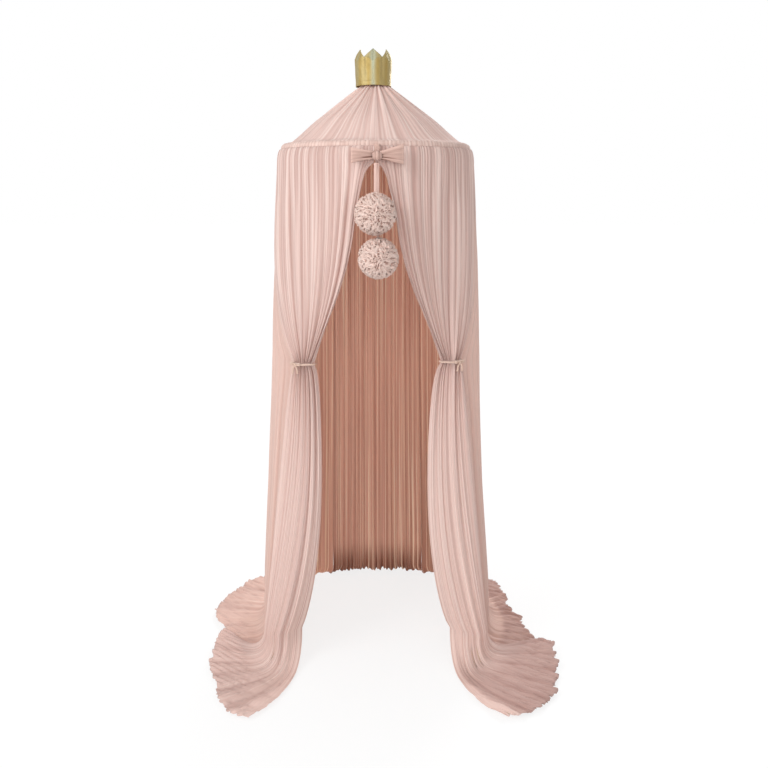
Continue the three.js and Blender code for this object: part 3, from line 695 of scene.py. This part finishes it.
# Side and back curtains
run_share_places = (0, 0.18, 0.356, 0.49, 0.683, 0.9, 1)
run_shares = (0, 0.20, 0.32, 0.42, 0.61, 0.92, 1)
side_edge_shares = (0, 0.129, 0.210, 0.289, 0.357, 0.389, 0.425, 0.508, 0.674, 1)
side_edge_angles = (8, 15, 20, 26, 31, 34, 34, 34, 34.5, 33)
side_tuck_sizes = (0, 0, 0.004, 0.012, 0.032, 0.050, 0.050, 0.032, 0.013, 0)
side_tuck_angles = (-33, -6)


def shoulder_drop(shoulder):
    return (seam_height - bulge_height) * (1 - np.cos(shoulder * QUARTER))


def hung_base(side, lobes, seed, u, v):
    """A side or back curtain without its folds. A side's front edge tucks in behind the drawn curtain."""
    shoulder, hung, bend, pool = parts_down(v, side_ends)
    if side is None:
        angle = mix(math.pi - side_back_angle, side_back_angle, u)
        sign = 1
        reach = pool_least_reach
        tuck = 0
        hem_size = back_hem_size
    else:
        angle = mix(-np.radians(np.interp(hung, side_edge_shares, side_edge_angles)), side_back_angle, u)
        sign = side["sign"]
        reach = np.interp(np.degrees(angle), side["pool_angles"], side["pool_reaches"])
        tuck = np.interp(hung, side_edge_shares, side_tuck_sizes)
        tuck = tuck * (1 - smooth(part(np.degrees(angle), *side_tuck_angles)))
        hem_size = side["hem_size"]
    foot = mix(back_foot_radius, side_foot_radius, np.abs(np.cos(angle)))
    radius = mix(seam_radius, bulge_radius, np.sin(shoulder * QUARTER))
    radius = radius + (foot - bulge_radius) * np.interp(hung, run_share_places, run_shares) - tuck
    radius = radius + side_bend_radius * (1 - np.cos(bend * QUARTER))
    radius = radius + (reach - hem_inset + hem_size * hem_scallop(u, lobes, seed)) * pool
    height = seam_height - shoulder_drop(shoulder) - side_bend_radius * np.sin(bend * QUARTER)
    height = height - (bulge_height - floor_lie - side_bend_radius) * hung
    return lowered(sign * np.cos(angle) * radius, np.sin(angle) * radius, height)


def back_looks(v, ruffle):
    """Painted shade: a little over a back curtain, deep at its foot and deeper on the ruffles."""
    shade = 0.06 * smooth((v - 0.35) / 0.25)
    return shade + 0.72 * smooth((v - 0.675) / 0.05) * (0.75 + 0.3 * ruffle)


def hung_drape(name, side, columns, counts, seed, flat):
    base = partial(hung_base, side, counts[1], seed)

    def place(u, v):
        shoulder, hung, bend, pool = parts_down(v, side_ends)
        settled = smooth(hung * 5)
        waves = three_pleats(u, v, counts, seed, True, (0.35, 0.35, 0.5))
        broad, narrow, hair = waves
        depth = 0
        for (seam, hanging, laid_share), wave in zip(side_pleat_depths, waves):
            depth = depth + mix(seam, hanging, settled) * wave * mix(1, laid_share, pool)
        facing = -side["sign"] if side else 1
        if side is None:
            ruffle = pleats(u, v, back_ruffles, seed + 3, True, 0.5)
            depth = depth + back_ruffle_depth * ruffle * smooth((v - 0.69) / 0.04)
        points = folded_out(base, u, v, depth, bend * QUARTER, facing)
        points = laid_down(points, seed, pool, 0.011, 0.009, 0.004)
        fold = fold_value(mix(0, broad, settled), narrow, hair)
        if side is None:
            return points, fold, np.clip(back_looks(v, ruffle), 0, 1), pool
        # Painted shade: the pleats' painted shade is calmer on the floor, and shade darkens the lower cloth,
        # the floor part and its creases.
        calm = 0.62 + (fold - 0.62) * mix(1, 0.4, pool)
        shade = mix(side["hung_shade"] * smooth(part(hung, 0.35, 0.9)), side["pool_shade"], smooth(pool * 4))
        shade = shade + hollows(points, seed, broad, 0.32, 0.22) * smooth(pool * 4)
        return points, np.clip(calm, 0, 1), np.clip(shade, 0, 1), smooth(pool * 3)

    obj = formed_sheet(name, (columns, 92), place, flat)
    walled(obj, (0, 0, 0.8), cloth_wall, inner=True)
    return obj


# Front curtains
def fan_path(side, u, share):
    """Where a front curtain's line u lies on the floor, curving from the bundle's foot to the hem."""
    u = np.clip(u, 0, 1)
    angles = side["fan_angles"]
    turn = mix(angles[0], angles[-1], u ** 0.78)
    scallop = side["hem_size"] * hem_scallop(u, fan_lobes, side["seed"])
    reach = np.interp(turn, angles, side["fan_reaches"]) - hem_inset + scallop
    places = []
    runs = []
    for axis, way in enumerate((np.cos(np.radians(turn)), np.sin(np.radians(turn)))):
        foot = curve(foot_outer[axis], foot_bend[axis], foot_inner[axis], u)
        end = fan_centre[axis] + way * reach
        places.append(curve(foot, mix(fan_way_outer[axis], fan_way_inner[axis], u), end, share))
        runs.append(end - foot)
    return places, np.hypot(*runs)


def front_base(side, u, v):
    """A front curtain without its folds, from the ring through the tie to its fan on the floor."""
    shoulder, drawn, tie, flared, bend, pool = parts_down(v, front_ends)
    inner = np.clip(u, 0, 1)
    turn = mix(side_front_angle, QUARTER, u)
    radius = mix(seam_radius, bulge_radius, np.sin(shoulder * QUARTER))
    along = (2 * u - 1) * bundle_half_width
    bundle_out = side["tie_out"] - along * math.cos(bundle_turn)
    bundle_forward = side["tie_forward"] + along * math.sin(bundle_turn)
    inner_power = np.interp(drawn, inner_edge_places, inner_edge_powers)
    out = mix(np.cos(turn) * radius, bundle_out, drawn ** mix(outer_edge_power, inner_power, inner))
    forward = mix(np.sin(turn) * radius, bundle_forward, drawn ** mix(*forward_powers, inner))
    out = out + outer_bulge * np.sin(math.pi * drawn) * (1 - u) ** 2
    long = fan_path(side, u, 0)[1]
    travel = front_bend_radius * (1 - np.cos(bend * QUARTER))
    travel = (travel + (long - front_bend_radius) * pool) / long
    floor_out, floor_forward = fan_path(side, u, travel)[0]
    puff = puff_size * (1 - np.exp(-flared * 22)) * (1 - flared)
    out = mix(out, floor_out, flared ** mix(*flare_powers, inner)) + puff * (1 - 2 * u)
    out = out - side["inner_swell"] * np.sqrt(np.sin(math.pi * flared)) * inner ** 2
    forward = mix(forward, floor_forward, flared) + puff
    drop_end = floor_lie + front_bend_radius
    tie_top = side["tie_height"] + bundle_neck_height / 2
    tie_foot = side["tie_height"] - bundle_neck_height / 2
    height = seam_height - shoulder_drop(shoulder)
    height = height - (bulge_height - tie_top) * drawn - (tie_top - tie_foot) * tie
    height = height - (tie_foot - drop_end) * flared - front_bend_radius * np.sin(bend * QUARTER)
    over_side = (1 - smooth(inner / 0.45)) * bend
    return lowered(side["sign"] * out, -forward, height + over_side_rise * over_side)


def front_drape(side, flat):
    seed = side["seed"]
    base = partial(front_base, side)

    def place(u, v):
        shoulder, drawn, tie, flared, bend, pool = parts_down(v, front_ends)
        settled = smooth(drawn * 4)
        bundle = np.sqrt(1 - ((2 * u - 1) * bundle_end_share) ** 2)
        loose = 1 - np.exp(-flared * 6)
        border = smooth((u - mix(0.91, 0.87, pool)) / 0.04) * smooth(flared * 4)
        broad, narrow, hair = three_pleats(u, v, front_pleat_counts, seed, False, (0.30, 0.30, 0.5))
        stages = (settled, drawn ** 2.5, loose, bend)
        depth = 0
        for wave, (seam, below, in_bundle, hanging, laid) in ((broad, wide_depths), (narrow, narrow_depths)):
            size = staged(stages, seam, below, in_bundle * bundle, mix(*hanging, smooth(u)), mix(*laid, u))
            depth = depth + size * wave
        depth = depth + staged((settled, bend), *fine_pleat_depths) * hair
        points = folded_out(base, u, v, depth * (1 - 0.8 * border), bend * QUARTER, side["sign"])
        points = laid_down(points, seed, pool, 0.012, 0.010, 0.005)
        # Painted light and shade: the flared cloth is lighter with calmer pleat shade, the floor part and its
        # creases get painted shade, and the single-layer border takes the ridge colour with almost no shade.
        calm = staged((loose, smooth(bend)), 1.7, 0.7, 0.35)
        fold = fold_value(mix(0, broad, settled), narrow, hair)
        fold = mix(0.55, 0.74, loose) + (fold - 0.55) * calm
        lying = smooth(part(bend + pool, 0.4, 1.3))
        shade = side["pool_shade"] + hollows(points, seed, broad, 0.32, 0.30)
        shade = shade * lying * (1 - 0.95 * border)
        fold = np.clip(mix(fold, 1.0, border * 0.8), 0, 1)
        return points, fold, np.clip(shade, 0, 1), smooth(pool * 3)

    obj = formed_sheet(f"{side['name']}_front_drape", (380, 116), place, flat)
    walled(obj, (0, 0, 0.8), cloth_wall, inner=True)
    return obj


# Roof
def roof_line(v):
    """Radius and height of the roof cloth up to the top of the neck, and its turn to upright."""
    slope, turn, neck = parts_down(v, (slope_end, throat_end))
    radius = mix(eave_radius, shoulder_radius, slope)
    radius = radius + (neck_radius - shoulder_radius) * np.sin(turn * QUARTER)
    sag = smooth(slope / 0.10) * (1 - smooth(part(slope, 0.10, 0.45)))
    height = mix(eave_height, shoulder_height, slope) - eave_sag * sag
    height = height + (throat_height - shoulder_height) * (1 - np.cos(turn * QUARTER))
    return radius, height + (neck_top_height - throat_height) * neck, turn


def make_roof():
    flat = (1.10, 0.36)
    slope = math.atan2(shoulder_height - eave_height, eave_radius - shoulder_radius)
    wide_count, narrow_count, gather_count = roof_pleat_counts

    def place(u, v):
        radius, height, turn = roof_line(v)
        up = smooth(v / 0.62)
        broad = pleats(u, v * 0.4, wide_count, 71, True, 0.38)
        narrow = pleats(u, v * 0.5, narrow_count, 72, True, 0.45)
        gather = pleats(u, v, gather_count, 73, True, 0.5) * (1 - smooth(v / 0.10))
        depth = mix(*roof_wide_depths, up) * broad + mix(*roof_narrow_depths, up) * narrow
        depth = depth + roof_gather_depth * gather
        lean = (QUARTER - slope) * (1 - turn)
        # Painted shade in the pleats' valleys, deeper up the slope towards the neck.
        fold = 0.66 + mix(0.10, 0.42, up) * broad + 0.2 * narrow + 0.2 * gather
        points = around(u * TAU + QUARTER, radius + depth * np.cos(lean), height + depth * np.sin(lean))
        return points, np.clip(fold, 0, 1)

    obj = formed_sheet("roof_cloth", (720, 52), place, flat, wrapped=True)
    walled(obj, (0, 0, 1.55), cloth_wall, inner=True)
    nodes = ["roof_front", "roof_right", "roof_back", "roof_left"]
    dressed(obj, "outer_cloth", nodes, roof_tulle, inner_tulle)


# Casing round the ring
def make_casing():
    def place(u, v):
        angle = u * TAU + QUARTER
        turn = math.pi - casing_opening / 2 - v * (TAU - casing_opening)
        gather = pleats(u, v * 0.3, casing_gathers, 81, True, 0.3)
        puff = 1 + casing_wander_share * wander(82, angle * 9, v * 3) + casing_gather_share * gather
        out = casing_ring_radius + np.cos(turn) * casing_half_width * puff
        height = casing_middle_height + np.sin(turn) * casing_half_height * puff
        # Painted shade in the valleys of the gathers.
        return around(angle, out, height), np.clip(0.6 + 0.5 * gather, 0, 1)

    casing = formed_sheet("ring_casing_tape", (900, 22), place, (1.8, 0.07), wrapped=True)
    thicken(casing, casing_wall)
    dressed(casing, "tape", ["ring_casing"], casing_weave)


# Bow and ties
def ribbon_loop(name, root, way, sizes, seed, turn=0.0):
    """A loop of ribbon that runs out in front, turns at its end and comes back behind."""
    crease_middle = sizes["crease_middle"]

    def place(u, v):
        sweep = u * math.pi
        run = np.sin(sweep) ** 0.55
        thick = sizes["depth"] / 2 * mix(0.35, 1.0, smooth(run * 1.1)) * mix(1.0, 0.75, run)
        front = np.sign(np.cos(sweep)) * np.abs(np.cos(sweep)) ** 0.62
        across = 0.5 - v
        tall = mix(*sizes["heights"], run ** 1.15)
        ray = (across - crease_middle) * sizes["creases"] + 0.30 * wander(seed, across * 5, run * 2)
        gathered = (1 - smooth(run / 0.80)) * near(across - crease_middle, 0.30)
        crease = (1 - np.abs(np.sin(math.pi * ray))) ** 2 * gathered
        x = way * sizes["length"] * run
        y = -front * thick * (1 - 0.75 * crease)
        y = y + 0.0016 * wander(seed + 1, run * 4, across * 5)
        z = root[2] + across * tall + sizes["rise"] * run
        # Painted light and shade: dark in the creases, lighter along the top edge and where the loop turns.
        fold = 0.76 - 1.9 * crease + 0.22 * smooth((run - 0.88) / 0.1) + 0.3 * smooth((across - 0.25) / 0.2)
        return lowered(root[0] + x * math.cos(turn) - y * math.sin(turn),
                       root[1] + x * math.sin(turn) + y * math.cos(turn), z), np.clip(fold, 0, 1)

    loop = formed_sheet(name, sizes["grid"], place, sizes["flat"], woven_along=True)
    out = way * sizes["middle"]
    middle = (root[0] + out * math.cos(turn), root[1] + out * math.sin(turn), root[2])
    return walled(loop, middle, sizes["wall"])


def ribbon_ring(name, centre, sizes, turn=0.0):
    """A band of ribbon that goes once round an oval, level or upright."""
    def place(u, v):
        angle = u * TAU
        across = (0.5 - v) * sizes["width"]
        ripples = np.cos(TAU * (0.5 - v) * sizes["creases"])
        edge = 1 - sizes["rounding"] * (2 * np.abs(0.5 - v)) ** 3
        out, up = ((axis + sizes["wave"] * ripples) * edge * np.sign(way) * np.abs(way) ** 0.9
                   for axis, way in zip(sizes["axes"], (np.cos(angle), np.sin(angle))))
        # Painted shade in the troughs of the ripples.
        fold = np.clip(0.8 + 0.2 * ripples, 0, 1)
        if sizes["upright"]:
            return lowered(centre[0] + across, centre[1] + out, centre[2] + up), fold
        x = out * math.cos(turn) - up * math.sin(turn)
        y = out * math.sin(turn) + up * math.cos(turn)
        return lowered(centre[0] + x, centre[1] + y, centre[2] + across + 0.0006 * np.sin(angle * 5)), fold

    band = formed_sheet(name, sizes["grid"], place, sizes["flat"], wrapped=True, woven_along=True)
    return walled(band, centre, sizes["wall"])


def make_bow():
    """Two loops of cloth, and the round knot between them."""
    for way, word, sizes in ((-1, "left", left_loop), (1, "right", right_loop)):
        root = (knot_middle[0] + way * knot_width * 0.30, knot_middle[1], sizes["root"])
        loop = ribbon_loop(f"bow_{word}_ribbon", root, way, sizes, 90 + way)
        dressed(loop, "bow_cloth", [f"bow_{word}_loop"], bow_tulle)
    knot = ribbon_ring("bow_knot_ribbon", knot_middle, knot_ring)
    dressed(knot, "bow_cloth", ["bow_knot"], bow_tulle)


def make_tab():
    """The stitched tab that ties the bow's knot to the casing."""
    low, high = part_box("bow_tab")
    shape = bmesh.new()
    bmesh.ops.create_cube(shape, size=1.0)
    bmesh.ops.scale(shape, vec=high - low, verts=shape.verts)
    bmesh.ops.translate(shape, vec=(high + low) / 2, verts=shape.verts)
    bmesh.ops.bevel(shape, geom=shape.edges, offset=tab_rounding, segments=3, profile=0.5,
                    affect="EDGES", material=-1)
    dressed(finished("bow_tab_tape", shape), "tape", ["bow_tab"], plain_tape)


def oval_turn(x, y, band_turn):
    """The level angle of the tie's oval where a place beside its centre lies on it."""
    along = x * math.cos(band_turn) + y * math.sin(band_turn)
    across = -x * math.sin(band_turn) + y * math.cos(band_turn)
    slope = math.atan2(across / tie_deep ** 2, along / tie_across ** 2)
    return slope + QUARTER + band_turn


def make_tie(side):
    """A ribbon round the drawn curtain, with a small bow and two tails."""
    word = side["name"]
    centre = (side["sign"] * side["tie_out"], -side["tie_forward"], side["tie_height"])
    band_turn = side["sign"] * bundle_turn
    band = ribbon_ring(f"{word}_tie_ribbon", centre, tie_ring, band_turn)
    dressed(band, "ribbon", [f"{word}_tie_band"], ribbon_weave)
    low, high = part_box(f"{word}_tie_bow")
    spot = ((low.x + high.x) / 2, (low.y + high.y) / 2, centre[2])
    turn = oval_turn(spot[0] - centre[0], spot[1] - centre[1], band_turn)
    knot = ribbon_ring(f"{word}_tie_knot", spot, small_knot_ring)
    dressed(knot, "ribbon", [f"{word}_tie_bow"], ribbon_weave)
    for way, end in ((-1, "a"), (1, "b")):
        loop = ribbon_loop(f"{word}_tie_loop_{end}", spot, way, small_loop, 140 + way, turn)
        dressed(loop, "ribbon", [], ribbon_weave)
        dressed(tie_tail(f"{word}_tie_tail_{end}", spot, way), "ribbon", [], ribbon_weave)


def tie_tail(name, root, way):
    def place(u, v):
        swing = way * (0.010 * v + 0.002 * np.sin(v * 5))
        x = root[0] + swing + (u - 0.5) * tail_width * mix(0.7, 1.1, v)
        y = root[1] - 0.0025 - 0.002 * np.sin(v * 4) + 0.0008 * np.cos(u * math.pi)
        return lowered(x, y, root[2] - 0.002 - v * tail_length + 0.002 * (u - 0.5) * way), 0.7

    tail = formed_sheet(name, (5, 14), place, (0.005, 0.028))
    thicken(tail, tail_wall)
    return tail


# Pom-poms
def nearness(way, other):
    """1 where two ways agree, and nearly 0 once they are 40 degrees apart."""
    return max(float(way.dot(other)), 0) ** 9


def add_petal(shape, dice, radius, out_way, to_front):
    """A ruffled petal that stands out of the ball. Gives how pale each of its points is: painted shade at its
    root, darker in the cleft at the front, and pale at its edge.
    """
    side_way = to_front - out_way * out_way.dot(to_front) + dice.normal(0, 0.22, 3)
    side_way = unit(side_way - out_way * side_way.dot(out_way))
    lean_way = np.cross(out_way, side_way)
    lean = dice.choice((-1, 1)) * dice.uniform(0.04, 0.17)
    wide = dice.uniform(0.28, 0.44)
    ruffle = dice.uniform(0.012, 0.030)
    waves = dice.uniform(1.2, 2.4)
    phase = dice.uniform(0, TAU)
    cleft = nearness(out_way, to_front)
    sunk = sunk_share if dice.random() < 0.12 + 0.45 * cleft else 0
    reach_end = dice.uniform(0.968, 1.0) - sunk
    values = []
    for vert in bmesh.ops.create_grid(shape, x_segments=10, y_segments=3, size=0.5)["verts"]:
        across = vert.co.x
        out = vert.co.y + 0.5
        sway = lean * out * out + ruffle * out * math.sin(TAU * waves * across + phase)
        point = out_way + side_way * across * wide * mix(0.7, 1, out) + lean_way * sway
        reach = mix(petal_root_share, reach_end, out) * (1 - 0.02 * (2 * abs(across)) ** 3)
        vert.co = Vector(unit(point) * reach * radius)
        values.append(mix(0.55 - 1.2 * cleft, 1.0, out ** 0.7))
    return values


def make_pompom(name, centre, radius, node, seed):
    """A core with a few hundred ruffled petals whose edges make the ball and run out from its front."""
    dice = np.random.default_rng(seed)
    golden = math.pi * (3 - math.sqrt(5))
    shape = bmesh.new()
    hub = bmesh.ops.create_icosphere(shape, subdivisions=3, radius=radius * hub_share)["verts"]
    to_front = unit(np.array([0.15, -1.0, 0.05]))
    # The core gets painted shade, darkest in the cleft at its front.
    values = [0.35 - 0.60 * nearness(unit(np.array(vert.co)), to_front) for vert in hub]
    for k in range(petals):
        level = 1 - 2 * (k + 0.5) / petals
        ring = math.sqrt(1 - level * level)
        out_way = unit(np.array([math.cos(golden * k) * ring, math.sin(golden * k) * ring, level])
                       + dice.normal(0, 0.05, 3))
        values += add_petal(shape, dice, radius, out_way, to_front)
    ball = finished(name, shape)
    points = read_rows(ball.data.vertices, "co") + np.array([centre[0], centre[1], centre[2] + floor_level])
    ball.data.vertices.foreach_set("co", points.ravel())
    set_look(ball.data, "fold", values)
    ball.data.uv_layers.new(name="cloth")
    ball.data.update()
    thicken(ball, petal_wall, 0.0)
    dressed(ball, "tulle", [node], frill_tulle, body=node)


# Cords
def smooth_route(route, per_step=3):
    """A Catmull-Rom line through the route's points."""
    points = np.array(route, float)
    padded = np.vstack([2 * points[0] - points[1], points, 2 * points[-1] - points[-2]])
    line = []
    for k in range(1, len(padded) - 2):
        a, b, c, d = padded[k - 1:k + 3]
        for step in range(per_step):
            t = step / per_step
            line.append(0.5 * (2 * b + (c - a) * t + (2 * a - 5 * b + 4 * c - d) * t ** 2
                               + (3 * b - a - 3 * c + d) * t ** 3))
    line.append(points[-1])
    return np.array(line) + (0, 0, floor_level)


def flat_cord(name, route, node):
    """A flat woven cord, swept along its route with its width level."""
    line = smooth_route(route)
    steps = len(line) - 1
    length = float(np.linalg.norm(np.diff(line, axis=0), axis=1).sum())
    ahead = np.gradient(line, axis=0)
    ahead /= np.linalg.norm(ahead, axis=1)[:, None]
    deep = np.cross(ahead, (1.0, 0.0, 0.0))

    def place(u, v):
        """The cord's rounded section, square to its line."""
        k = np.rint(v * steps).astype(int)
        turn = u * TAU + QUARTER
        x, y = (np.sign(way) * np.abs(way) ** 0.6 * size / 2
                for way, size in ((np.cos(turn), cord_width), (np.sin(turn), cord_thickness)))
        points = line[k] + deep[k] * y[:, None]
        points[:, 0] += x
        return points, 0.75

    obj = formed_sheet(name, (14, steps), place, (2 * cord_width, length), wrapped=True, capped=True)
    dressed(obj, "ribbon", [node], cord_weave, body=node.removesuffix("_cord"))


# Crown
def crown_sheet(inset, foot_rise, top_of):
    """How a wall of the crown is placed: top_of gives its top where a point is 1 and a valley 0."""
    def place(u, v):
        angle = u * TAU - QUARTER
        corner = np.abs((u * crown_points) % 1 - 0.5) * 2
        rise = mix(foot_rise, top_of(corner), 1 - v)
        fold_line = crown_valley_rise - crown_fold_below - crown_fold_drop * corner ** 2
        above = np.maximum(rise - fold_line, 0)
        lean = crown_lean * above * smooth(above / 0.004)
        crease = crown_crease * near(corner, 0.16) * part(rise, 0.004, 0.03)
        hem = 0.0006 * near(rise - crown_hem_rise, 0.0010)
        dent = 0.0006 * wander(55, angle * 3, rise * 60)
        radius = mix(crown_base_radius, crown_rim_radius, rise / crown_valley_rise)
        radius = radius - inset - crease - lean + dent - hem + 0.0012 * corner ** 2
        # Painted highlight and shade: a pale strip under each point, strongest at the front, paler leaning
        # tips, most at the front, and darker bands between the strips and the valleys; the wander adds a
        # little random tone.
        front = near(np.minimum(u, 1 - u), 0.06)
        strip = (0.15 + 0.85 * front) * near(1 - corner, 0.20)
        gutter = 0.25 * near(corner - 0.50, 0.16)
        fold = 0.18 + 0.85 * strip - gutter + (0.15 + 0.4 * front) * smooth(above / 0.006)
        fold = fold + 0.10 * wander(57, angle * 2, rise * 50)
        points = around(angle, radius, crown_base_height + rise)
        points[:, 0] -= crown_shift
        return points, np.clip(fold, 0, 1)
    return place


def make_crown():
    def pointed(corner):
        return crown_valley_rise + crown_point_rise * corner ** 0.92

    def level(corner):
        return crown_valley_rise - lining_below_valley

    outer_place = crown_sheet(crown_inset, 0.0, pointed)
    inner_place = crown_sheet(crown_inset + lining_inset, lining_foot_rise, level)
    for name, grid, place, flat, wall, slot, node, material, other in (
            ("crown_vinyl", (216, 44), outer_place, (0.33, 0.10), crown_wall,
             "gold_vinyl", "crown_band", gold_vinyl, "crown_lining"),
            ("crown_felt_lining", (144, 12), inner_place, (0.31, 0.07), lining_wall,
             "lining", "crown_lining", felt, "crown_band")):
        band = formed_sheet(name, grid, place, flat, wrapped=True)
        walled(band, (-crown_shift, 0, crown_base_height + 0.045), wall)
        dressed(band, slot, [node], material, body="crown")


# Neck binding and hanging strap
def make_neck():
    def place(u, v):
        angle = u * TAU
        bulge = 0.0006 * np.sin(math.pi * v) + 0.0003 * wander(61, angle * 8, v * 2)
        return around(angle, binding_radius + bulge, neck_top_height - binding_height * v), 0.8

    band = formed_sheet("neck_binding_tape", (128, 8), place, (0.2, 0.015), wrapped=True)
    walled(band, (0, 0, neck_top_height), binding_wall, 1.0)
    dressed(band, "tape", ["neck_binding"], casing_weave)


def make_strap():
    """The flat strap whose arch takes the hook, with its feet turned out under the neck ring."""
    middle = strap_outer_radius - strap_thickness / 2
    centre = loop_crest_height - strap_outer_radius + strap_thickness

    def place(u, v):
        turn = mix(0, math.pi, part(u, strap_leg_share, 1 - strap_leg_share))
        first_foot = 1 - part(u, 0, strap_foot_share)
        last_foot = part(u, 1 - strap_foot_share, 1)
        x = np.cos(turn) * middle + strap_foot_reach * (first_foot - last_foot)
        first_leg = part(u, strap_foot_share, strap_leg_share)
        last_leg = part(u, 1 - strap_leg_share, 1 - strap_foot_share)
        z = np.where(u < strap_leg_share, mix(strap_foot_height, centre, first_leg),
                     centre + np.sin(turn) * middle)
        z = np.where(u > 1 - strap_leg_share, mix(centre, strap_foot_height, last_leg), z)
        return lowered(x, (0.5 - v) * strap_width, z), 0.8

    strap = formed_sheet("hanging_strap", (96, 8), place, (0.16, 0.01))
    walled(strap, (0, 0, centre - 0.005), strap_thickness, 0.0)
    dressed(strap, "tape", ["hanging_loop"], casing_weave)


def make_frame_finishes():
    """The rods, sleeves and neck ring keep their CAD shape and get their finish."""
    for name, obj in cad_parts.items():
        if name.startswith(("ring_rod", "ring_ferrule", "neck_ring")):
            obj.data.materials.clear()
            obj.data.materials.append(rod_paint if name.startswith("ring_rod") else white_plastic)


# Floor, background and lights
def seen_ray(owner):
    """1 where the camera, a mirror or glass looks, and 0 for the light that falls on things."""
    rays = add_node(owner, "LightPath", {}).outputs
    mirrored = combined(owner, "MAXIMUM", rays["Is Camera Ray"], rays["Is Glossy Ray"])
    return combined(owner, "MAXIMUM", mirrored, rays["Is Transmission Ray"])


def make_stage():
    """A pale floor that turns into the white background some way from the object."""
    shape = bmesh.new()
    bmesh.ops.create_grid(shape, x_segments=1, y_segments=1, size=30)
    bmesh.ops.translate(shape, vec=(0, 0, floor_level - 0.0005), verts=shape.verts)
    floor = finished("floor", shape)
    material, shader = blank_material("pale_floor")
    fill(material, shader, {"Base Color": (0.86, 0.86, 0.86, 1), "Roughness": 0.9, "Specular IOR Level": 0.1})
    distance = add_node(material, "VectorMath", {0: place_of(material)}, operation="LENGTH")
    inputs = {"Value": distance.outputs["Value"], "From Min": 1.85, "From Max": 2.5,
              "To Min": 0.78, "To Max": 1.0}
    whiteness = add_node(material, "MapRange", inputs, interpolation_type="SMOOTHSTEP")
    share = combined(material, "MULTIPLY", seen_ray(material), whiteness.outputs["Result"])
    shader_mix(material, share, shader, add_node(material, "Emission", {"Strength": 1.03}))
    floor.data.materials.append(material)


def make_world(strength):
    """A white background, which lights things less than it shows."""
    world = bpy.data.worlds.new("studio")
    world.use_nodes = True
    bpy.context.scene.world = world
    shown = ranged(world, seen_ray(world), strength, 1, 0, 1)
    fill(world, world.node_tree.nodes["Background"], {"Color": (1, 1, 1, 1), "Strength": shown})


def make_lights():
    middle = Vector((0, 0, 0.95))
    for name, place, power in (("key", (-2.7, -2.3, 3.0), 82), ("front", (0.3, -3.4, 1.6), 34),
                               ("back", (1.2, 3.2, 2.6), 110)):
        data = bpy.data.lights.new(name, "AREA")
        data.shape = "DISK"
        data.size = 2.4
        data.energy = power
        lamp = linked(name, data)
        lamp.location = (place[0], place[1], place[2] + floor_level)
        lamp.rotation_euler = (middle - Vector(place)).to_track_quat("-Z", "Y").to_euler()


flat_cord("upper_pompom_flat_cord", upper_cord_route, "upper_pompom_cord")
flat_cord("lower_pompom_flat_cord", lower_cord_route, "lower_pompom_cord")
make_roof()
make_casing()

back_drape = hung_drape("back_drape", None, 300, (6, 17, 41), 23, (0.42, 1.62))
dressed(back_drape, "inner_cloth", ["back_curtain"], outer_tulle, inner_tulle)
for side in (left, right):
    word = side["name"]
    drape = hung_drape(f"{word}_side_drape", side, 340, (7, 20, 47), side["seed"] + 40, (0.62, 1.72))
    dressed(drape, "outer_cloth", [f"{word}_side_curtain"], side_tulle, inner_tulle)
    drape = front_drape(side, (0.38, 1.85))
    dressed(drape, "outer_cloth", [f"{word}_front_curtain"], outer_tulle, inner_tulle)
    make_tie(side)

make_bow()
make_tab()
make_pompom("upper_tulle_ball", (0.002, -pompom_forward, 1.404), upper_ball_radius, "upper_pompom", 5)
make_pompom("lower_tulle_ball", (0.010, -pompom_forward, 1.286), lower_ball_radius, "lower_pompom", 6)
make_crown()
make_neck()
make_strap()
make_frame_finishes()
make_stage()
make_world(0.55)
make_lights()

bpy.context.scene.view_settings.view_transform = "Standard"
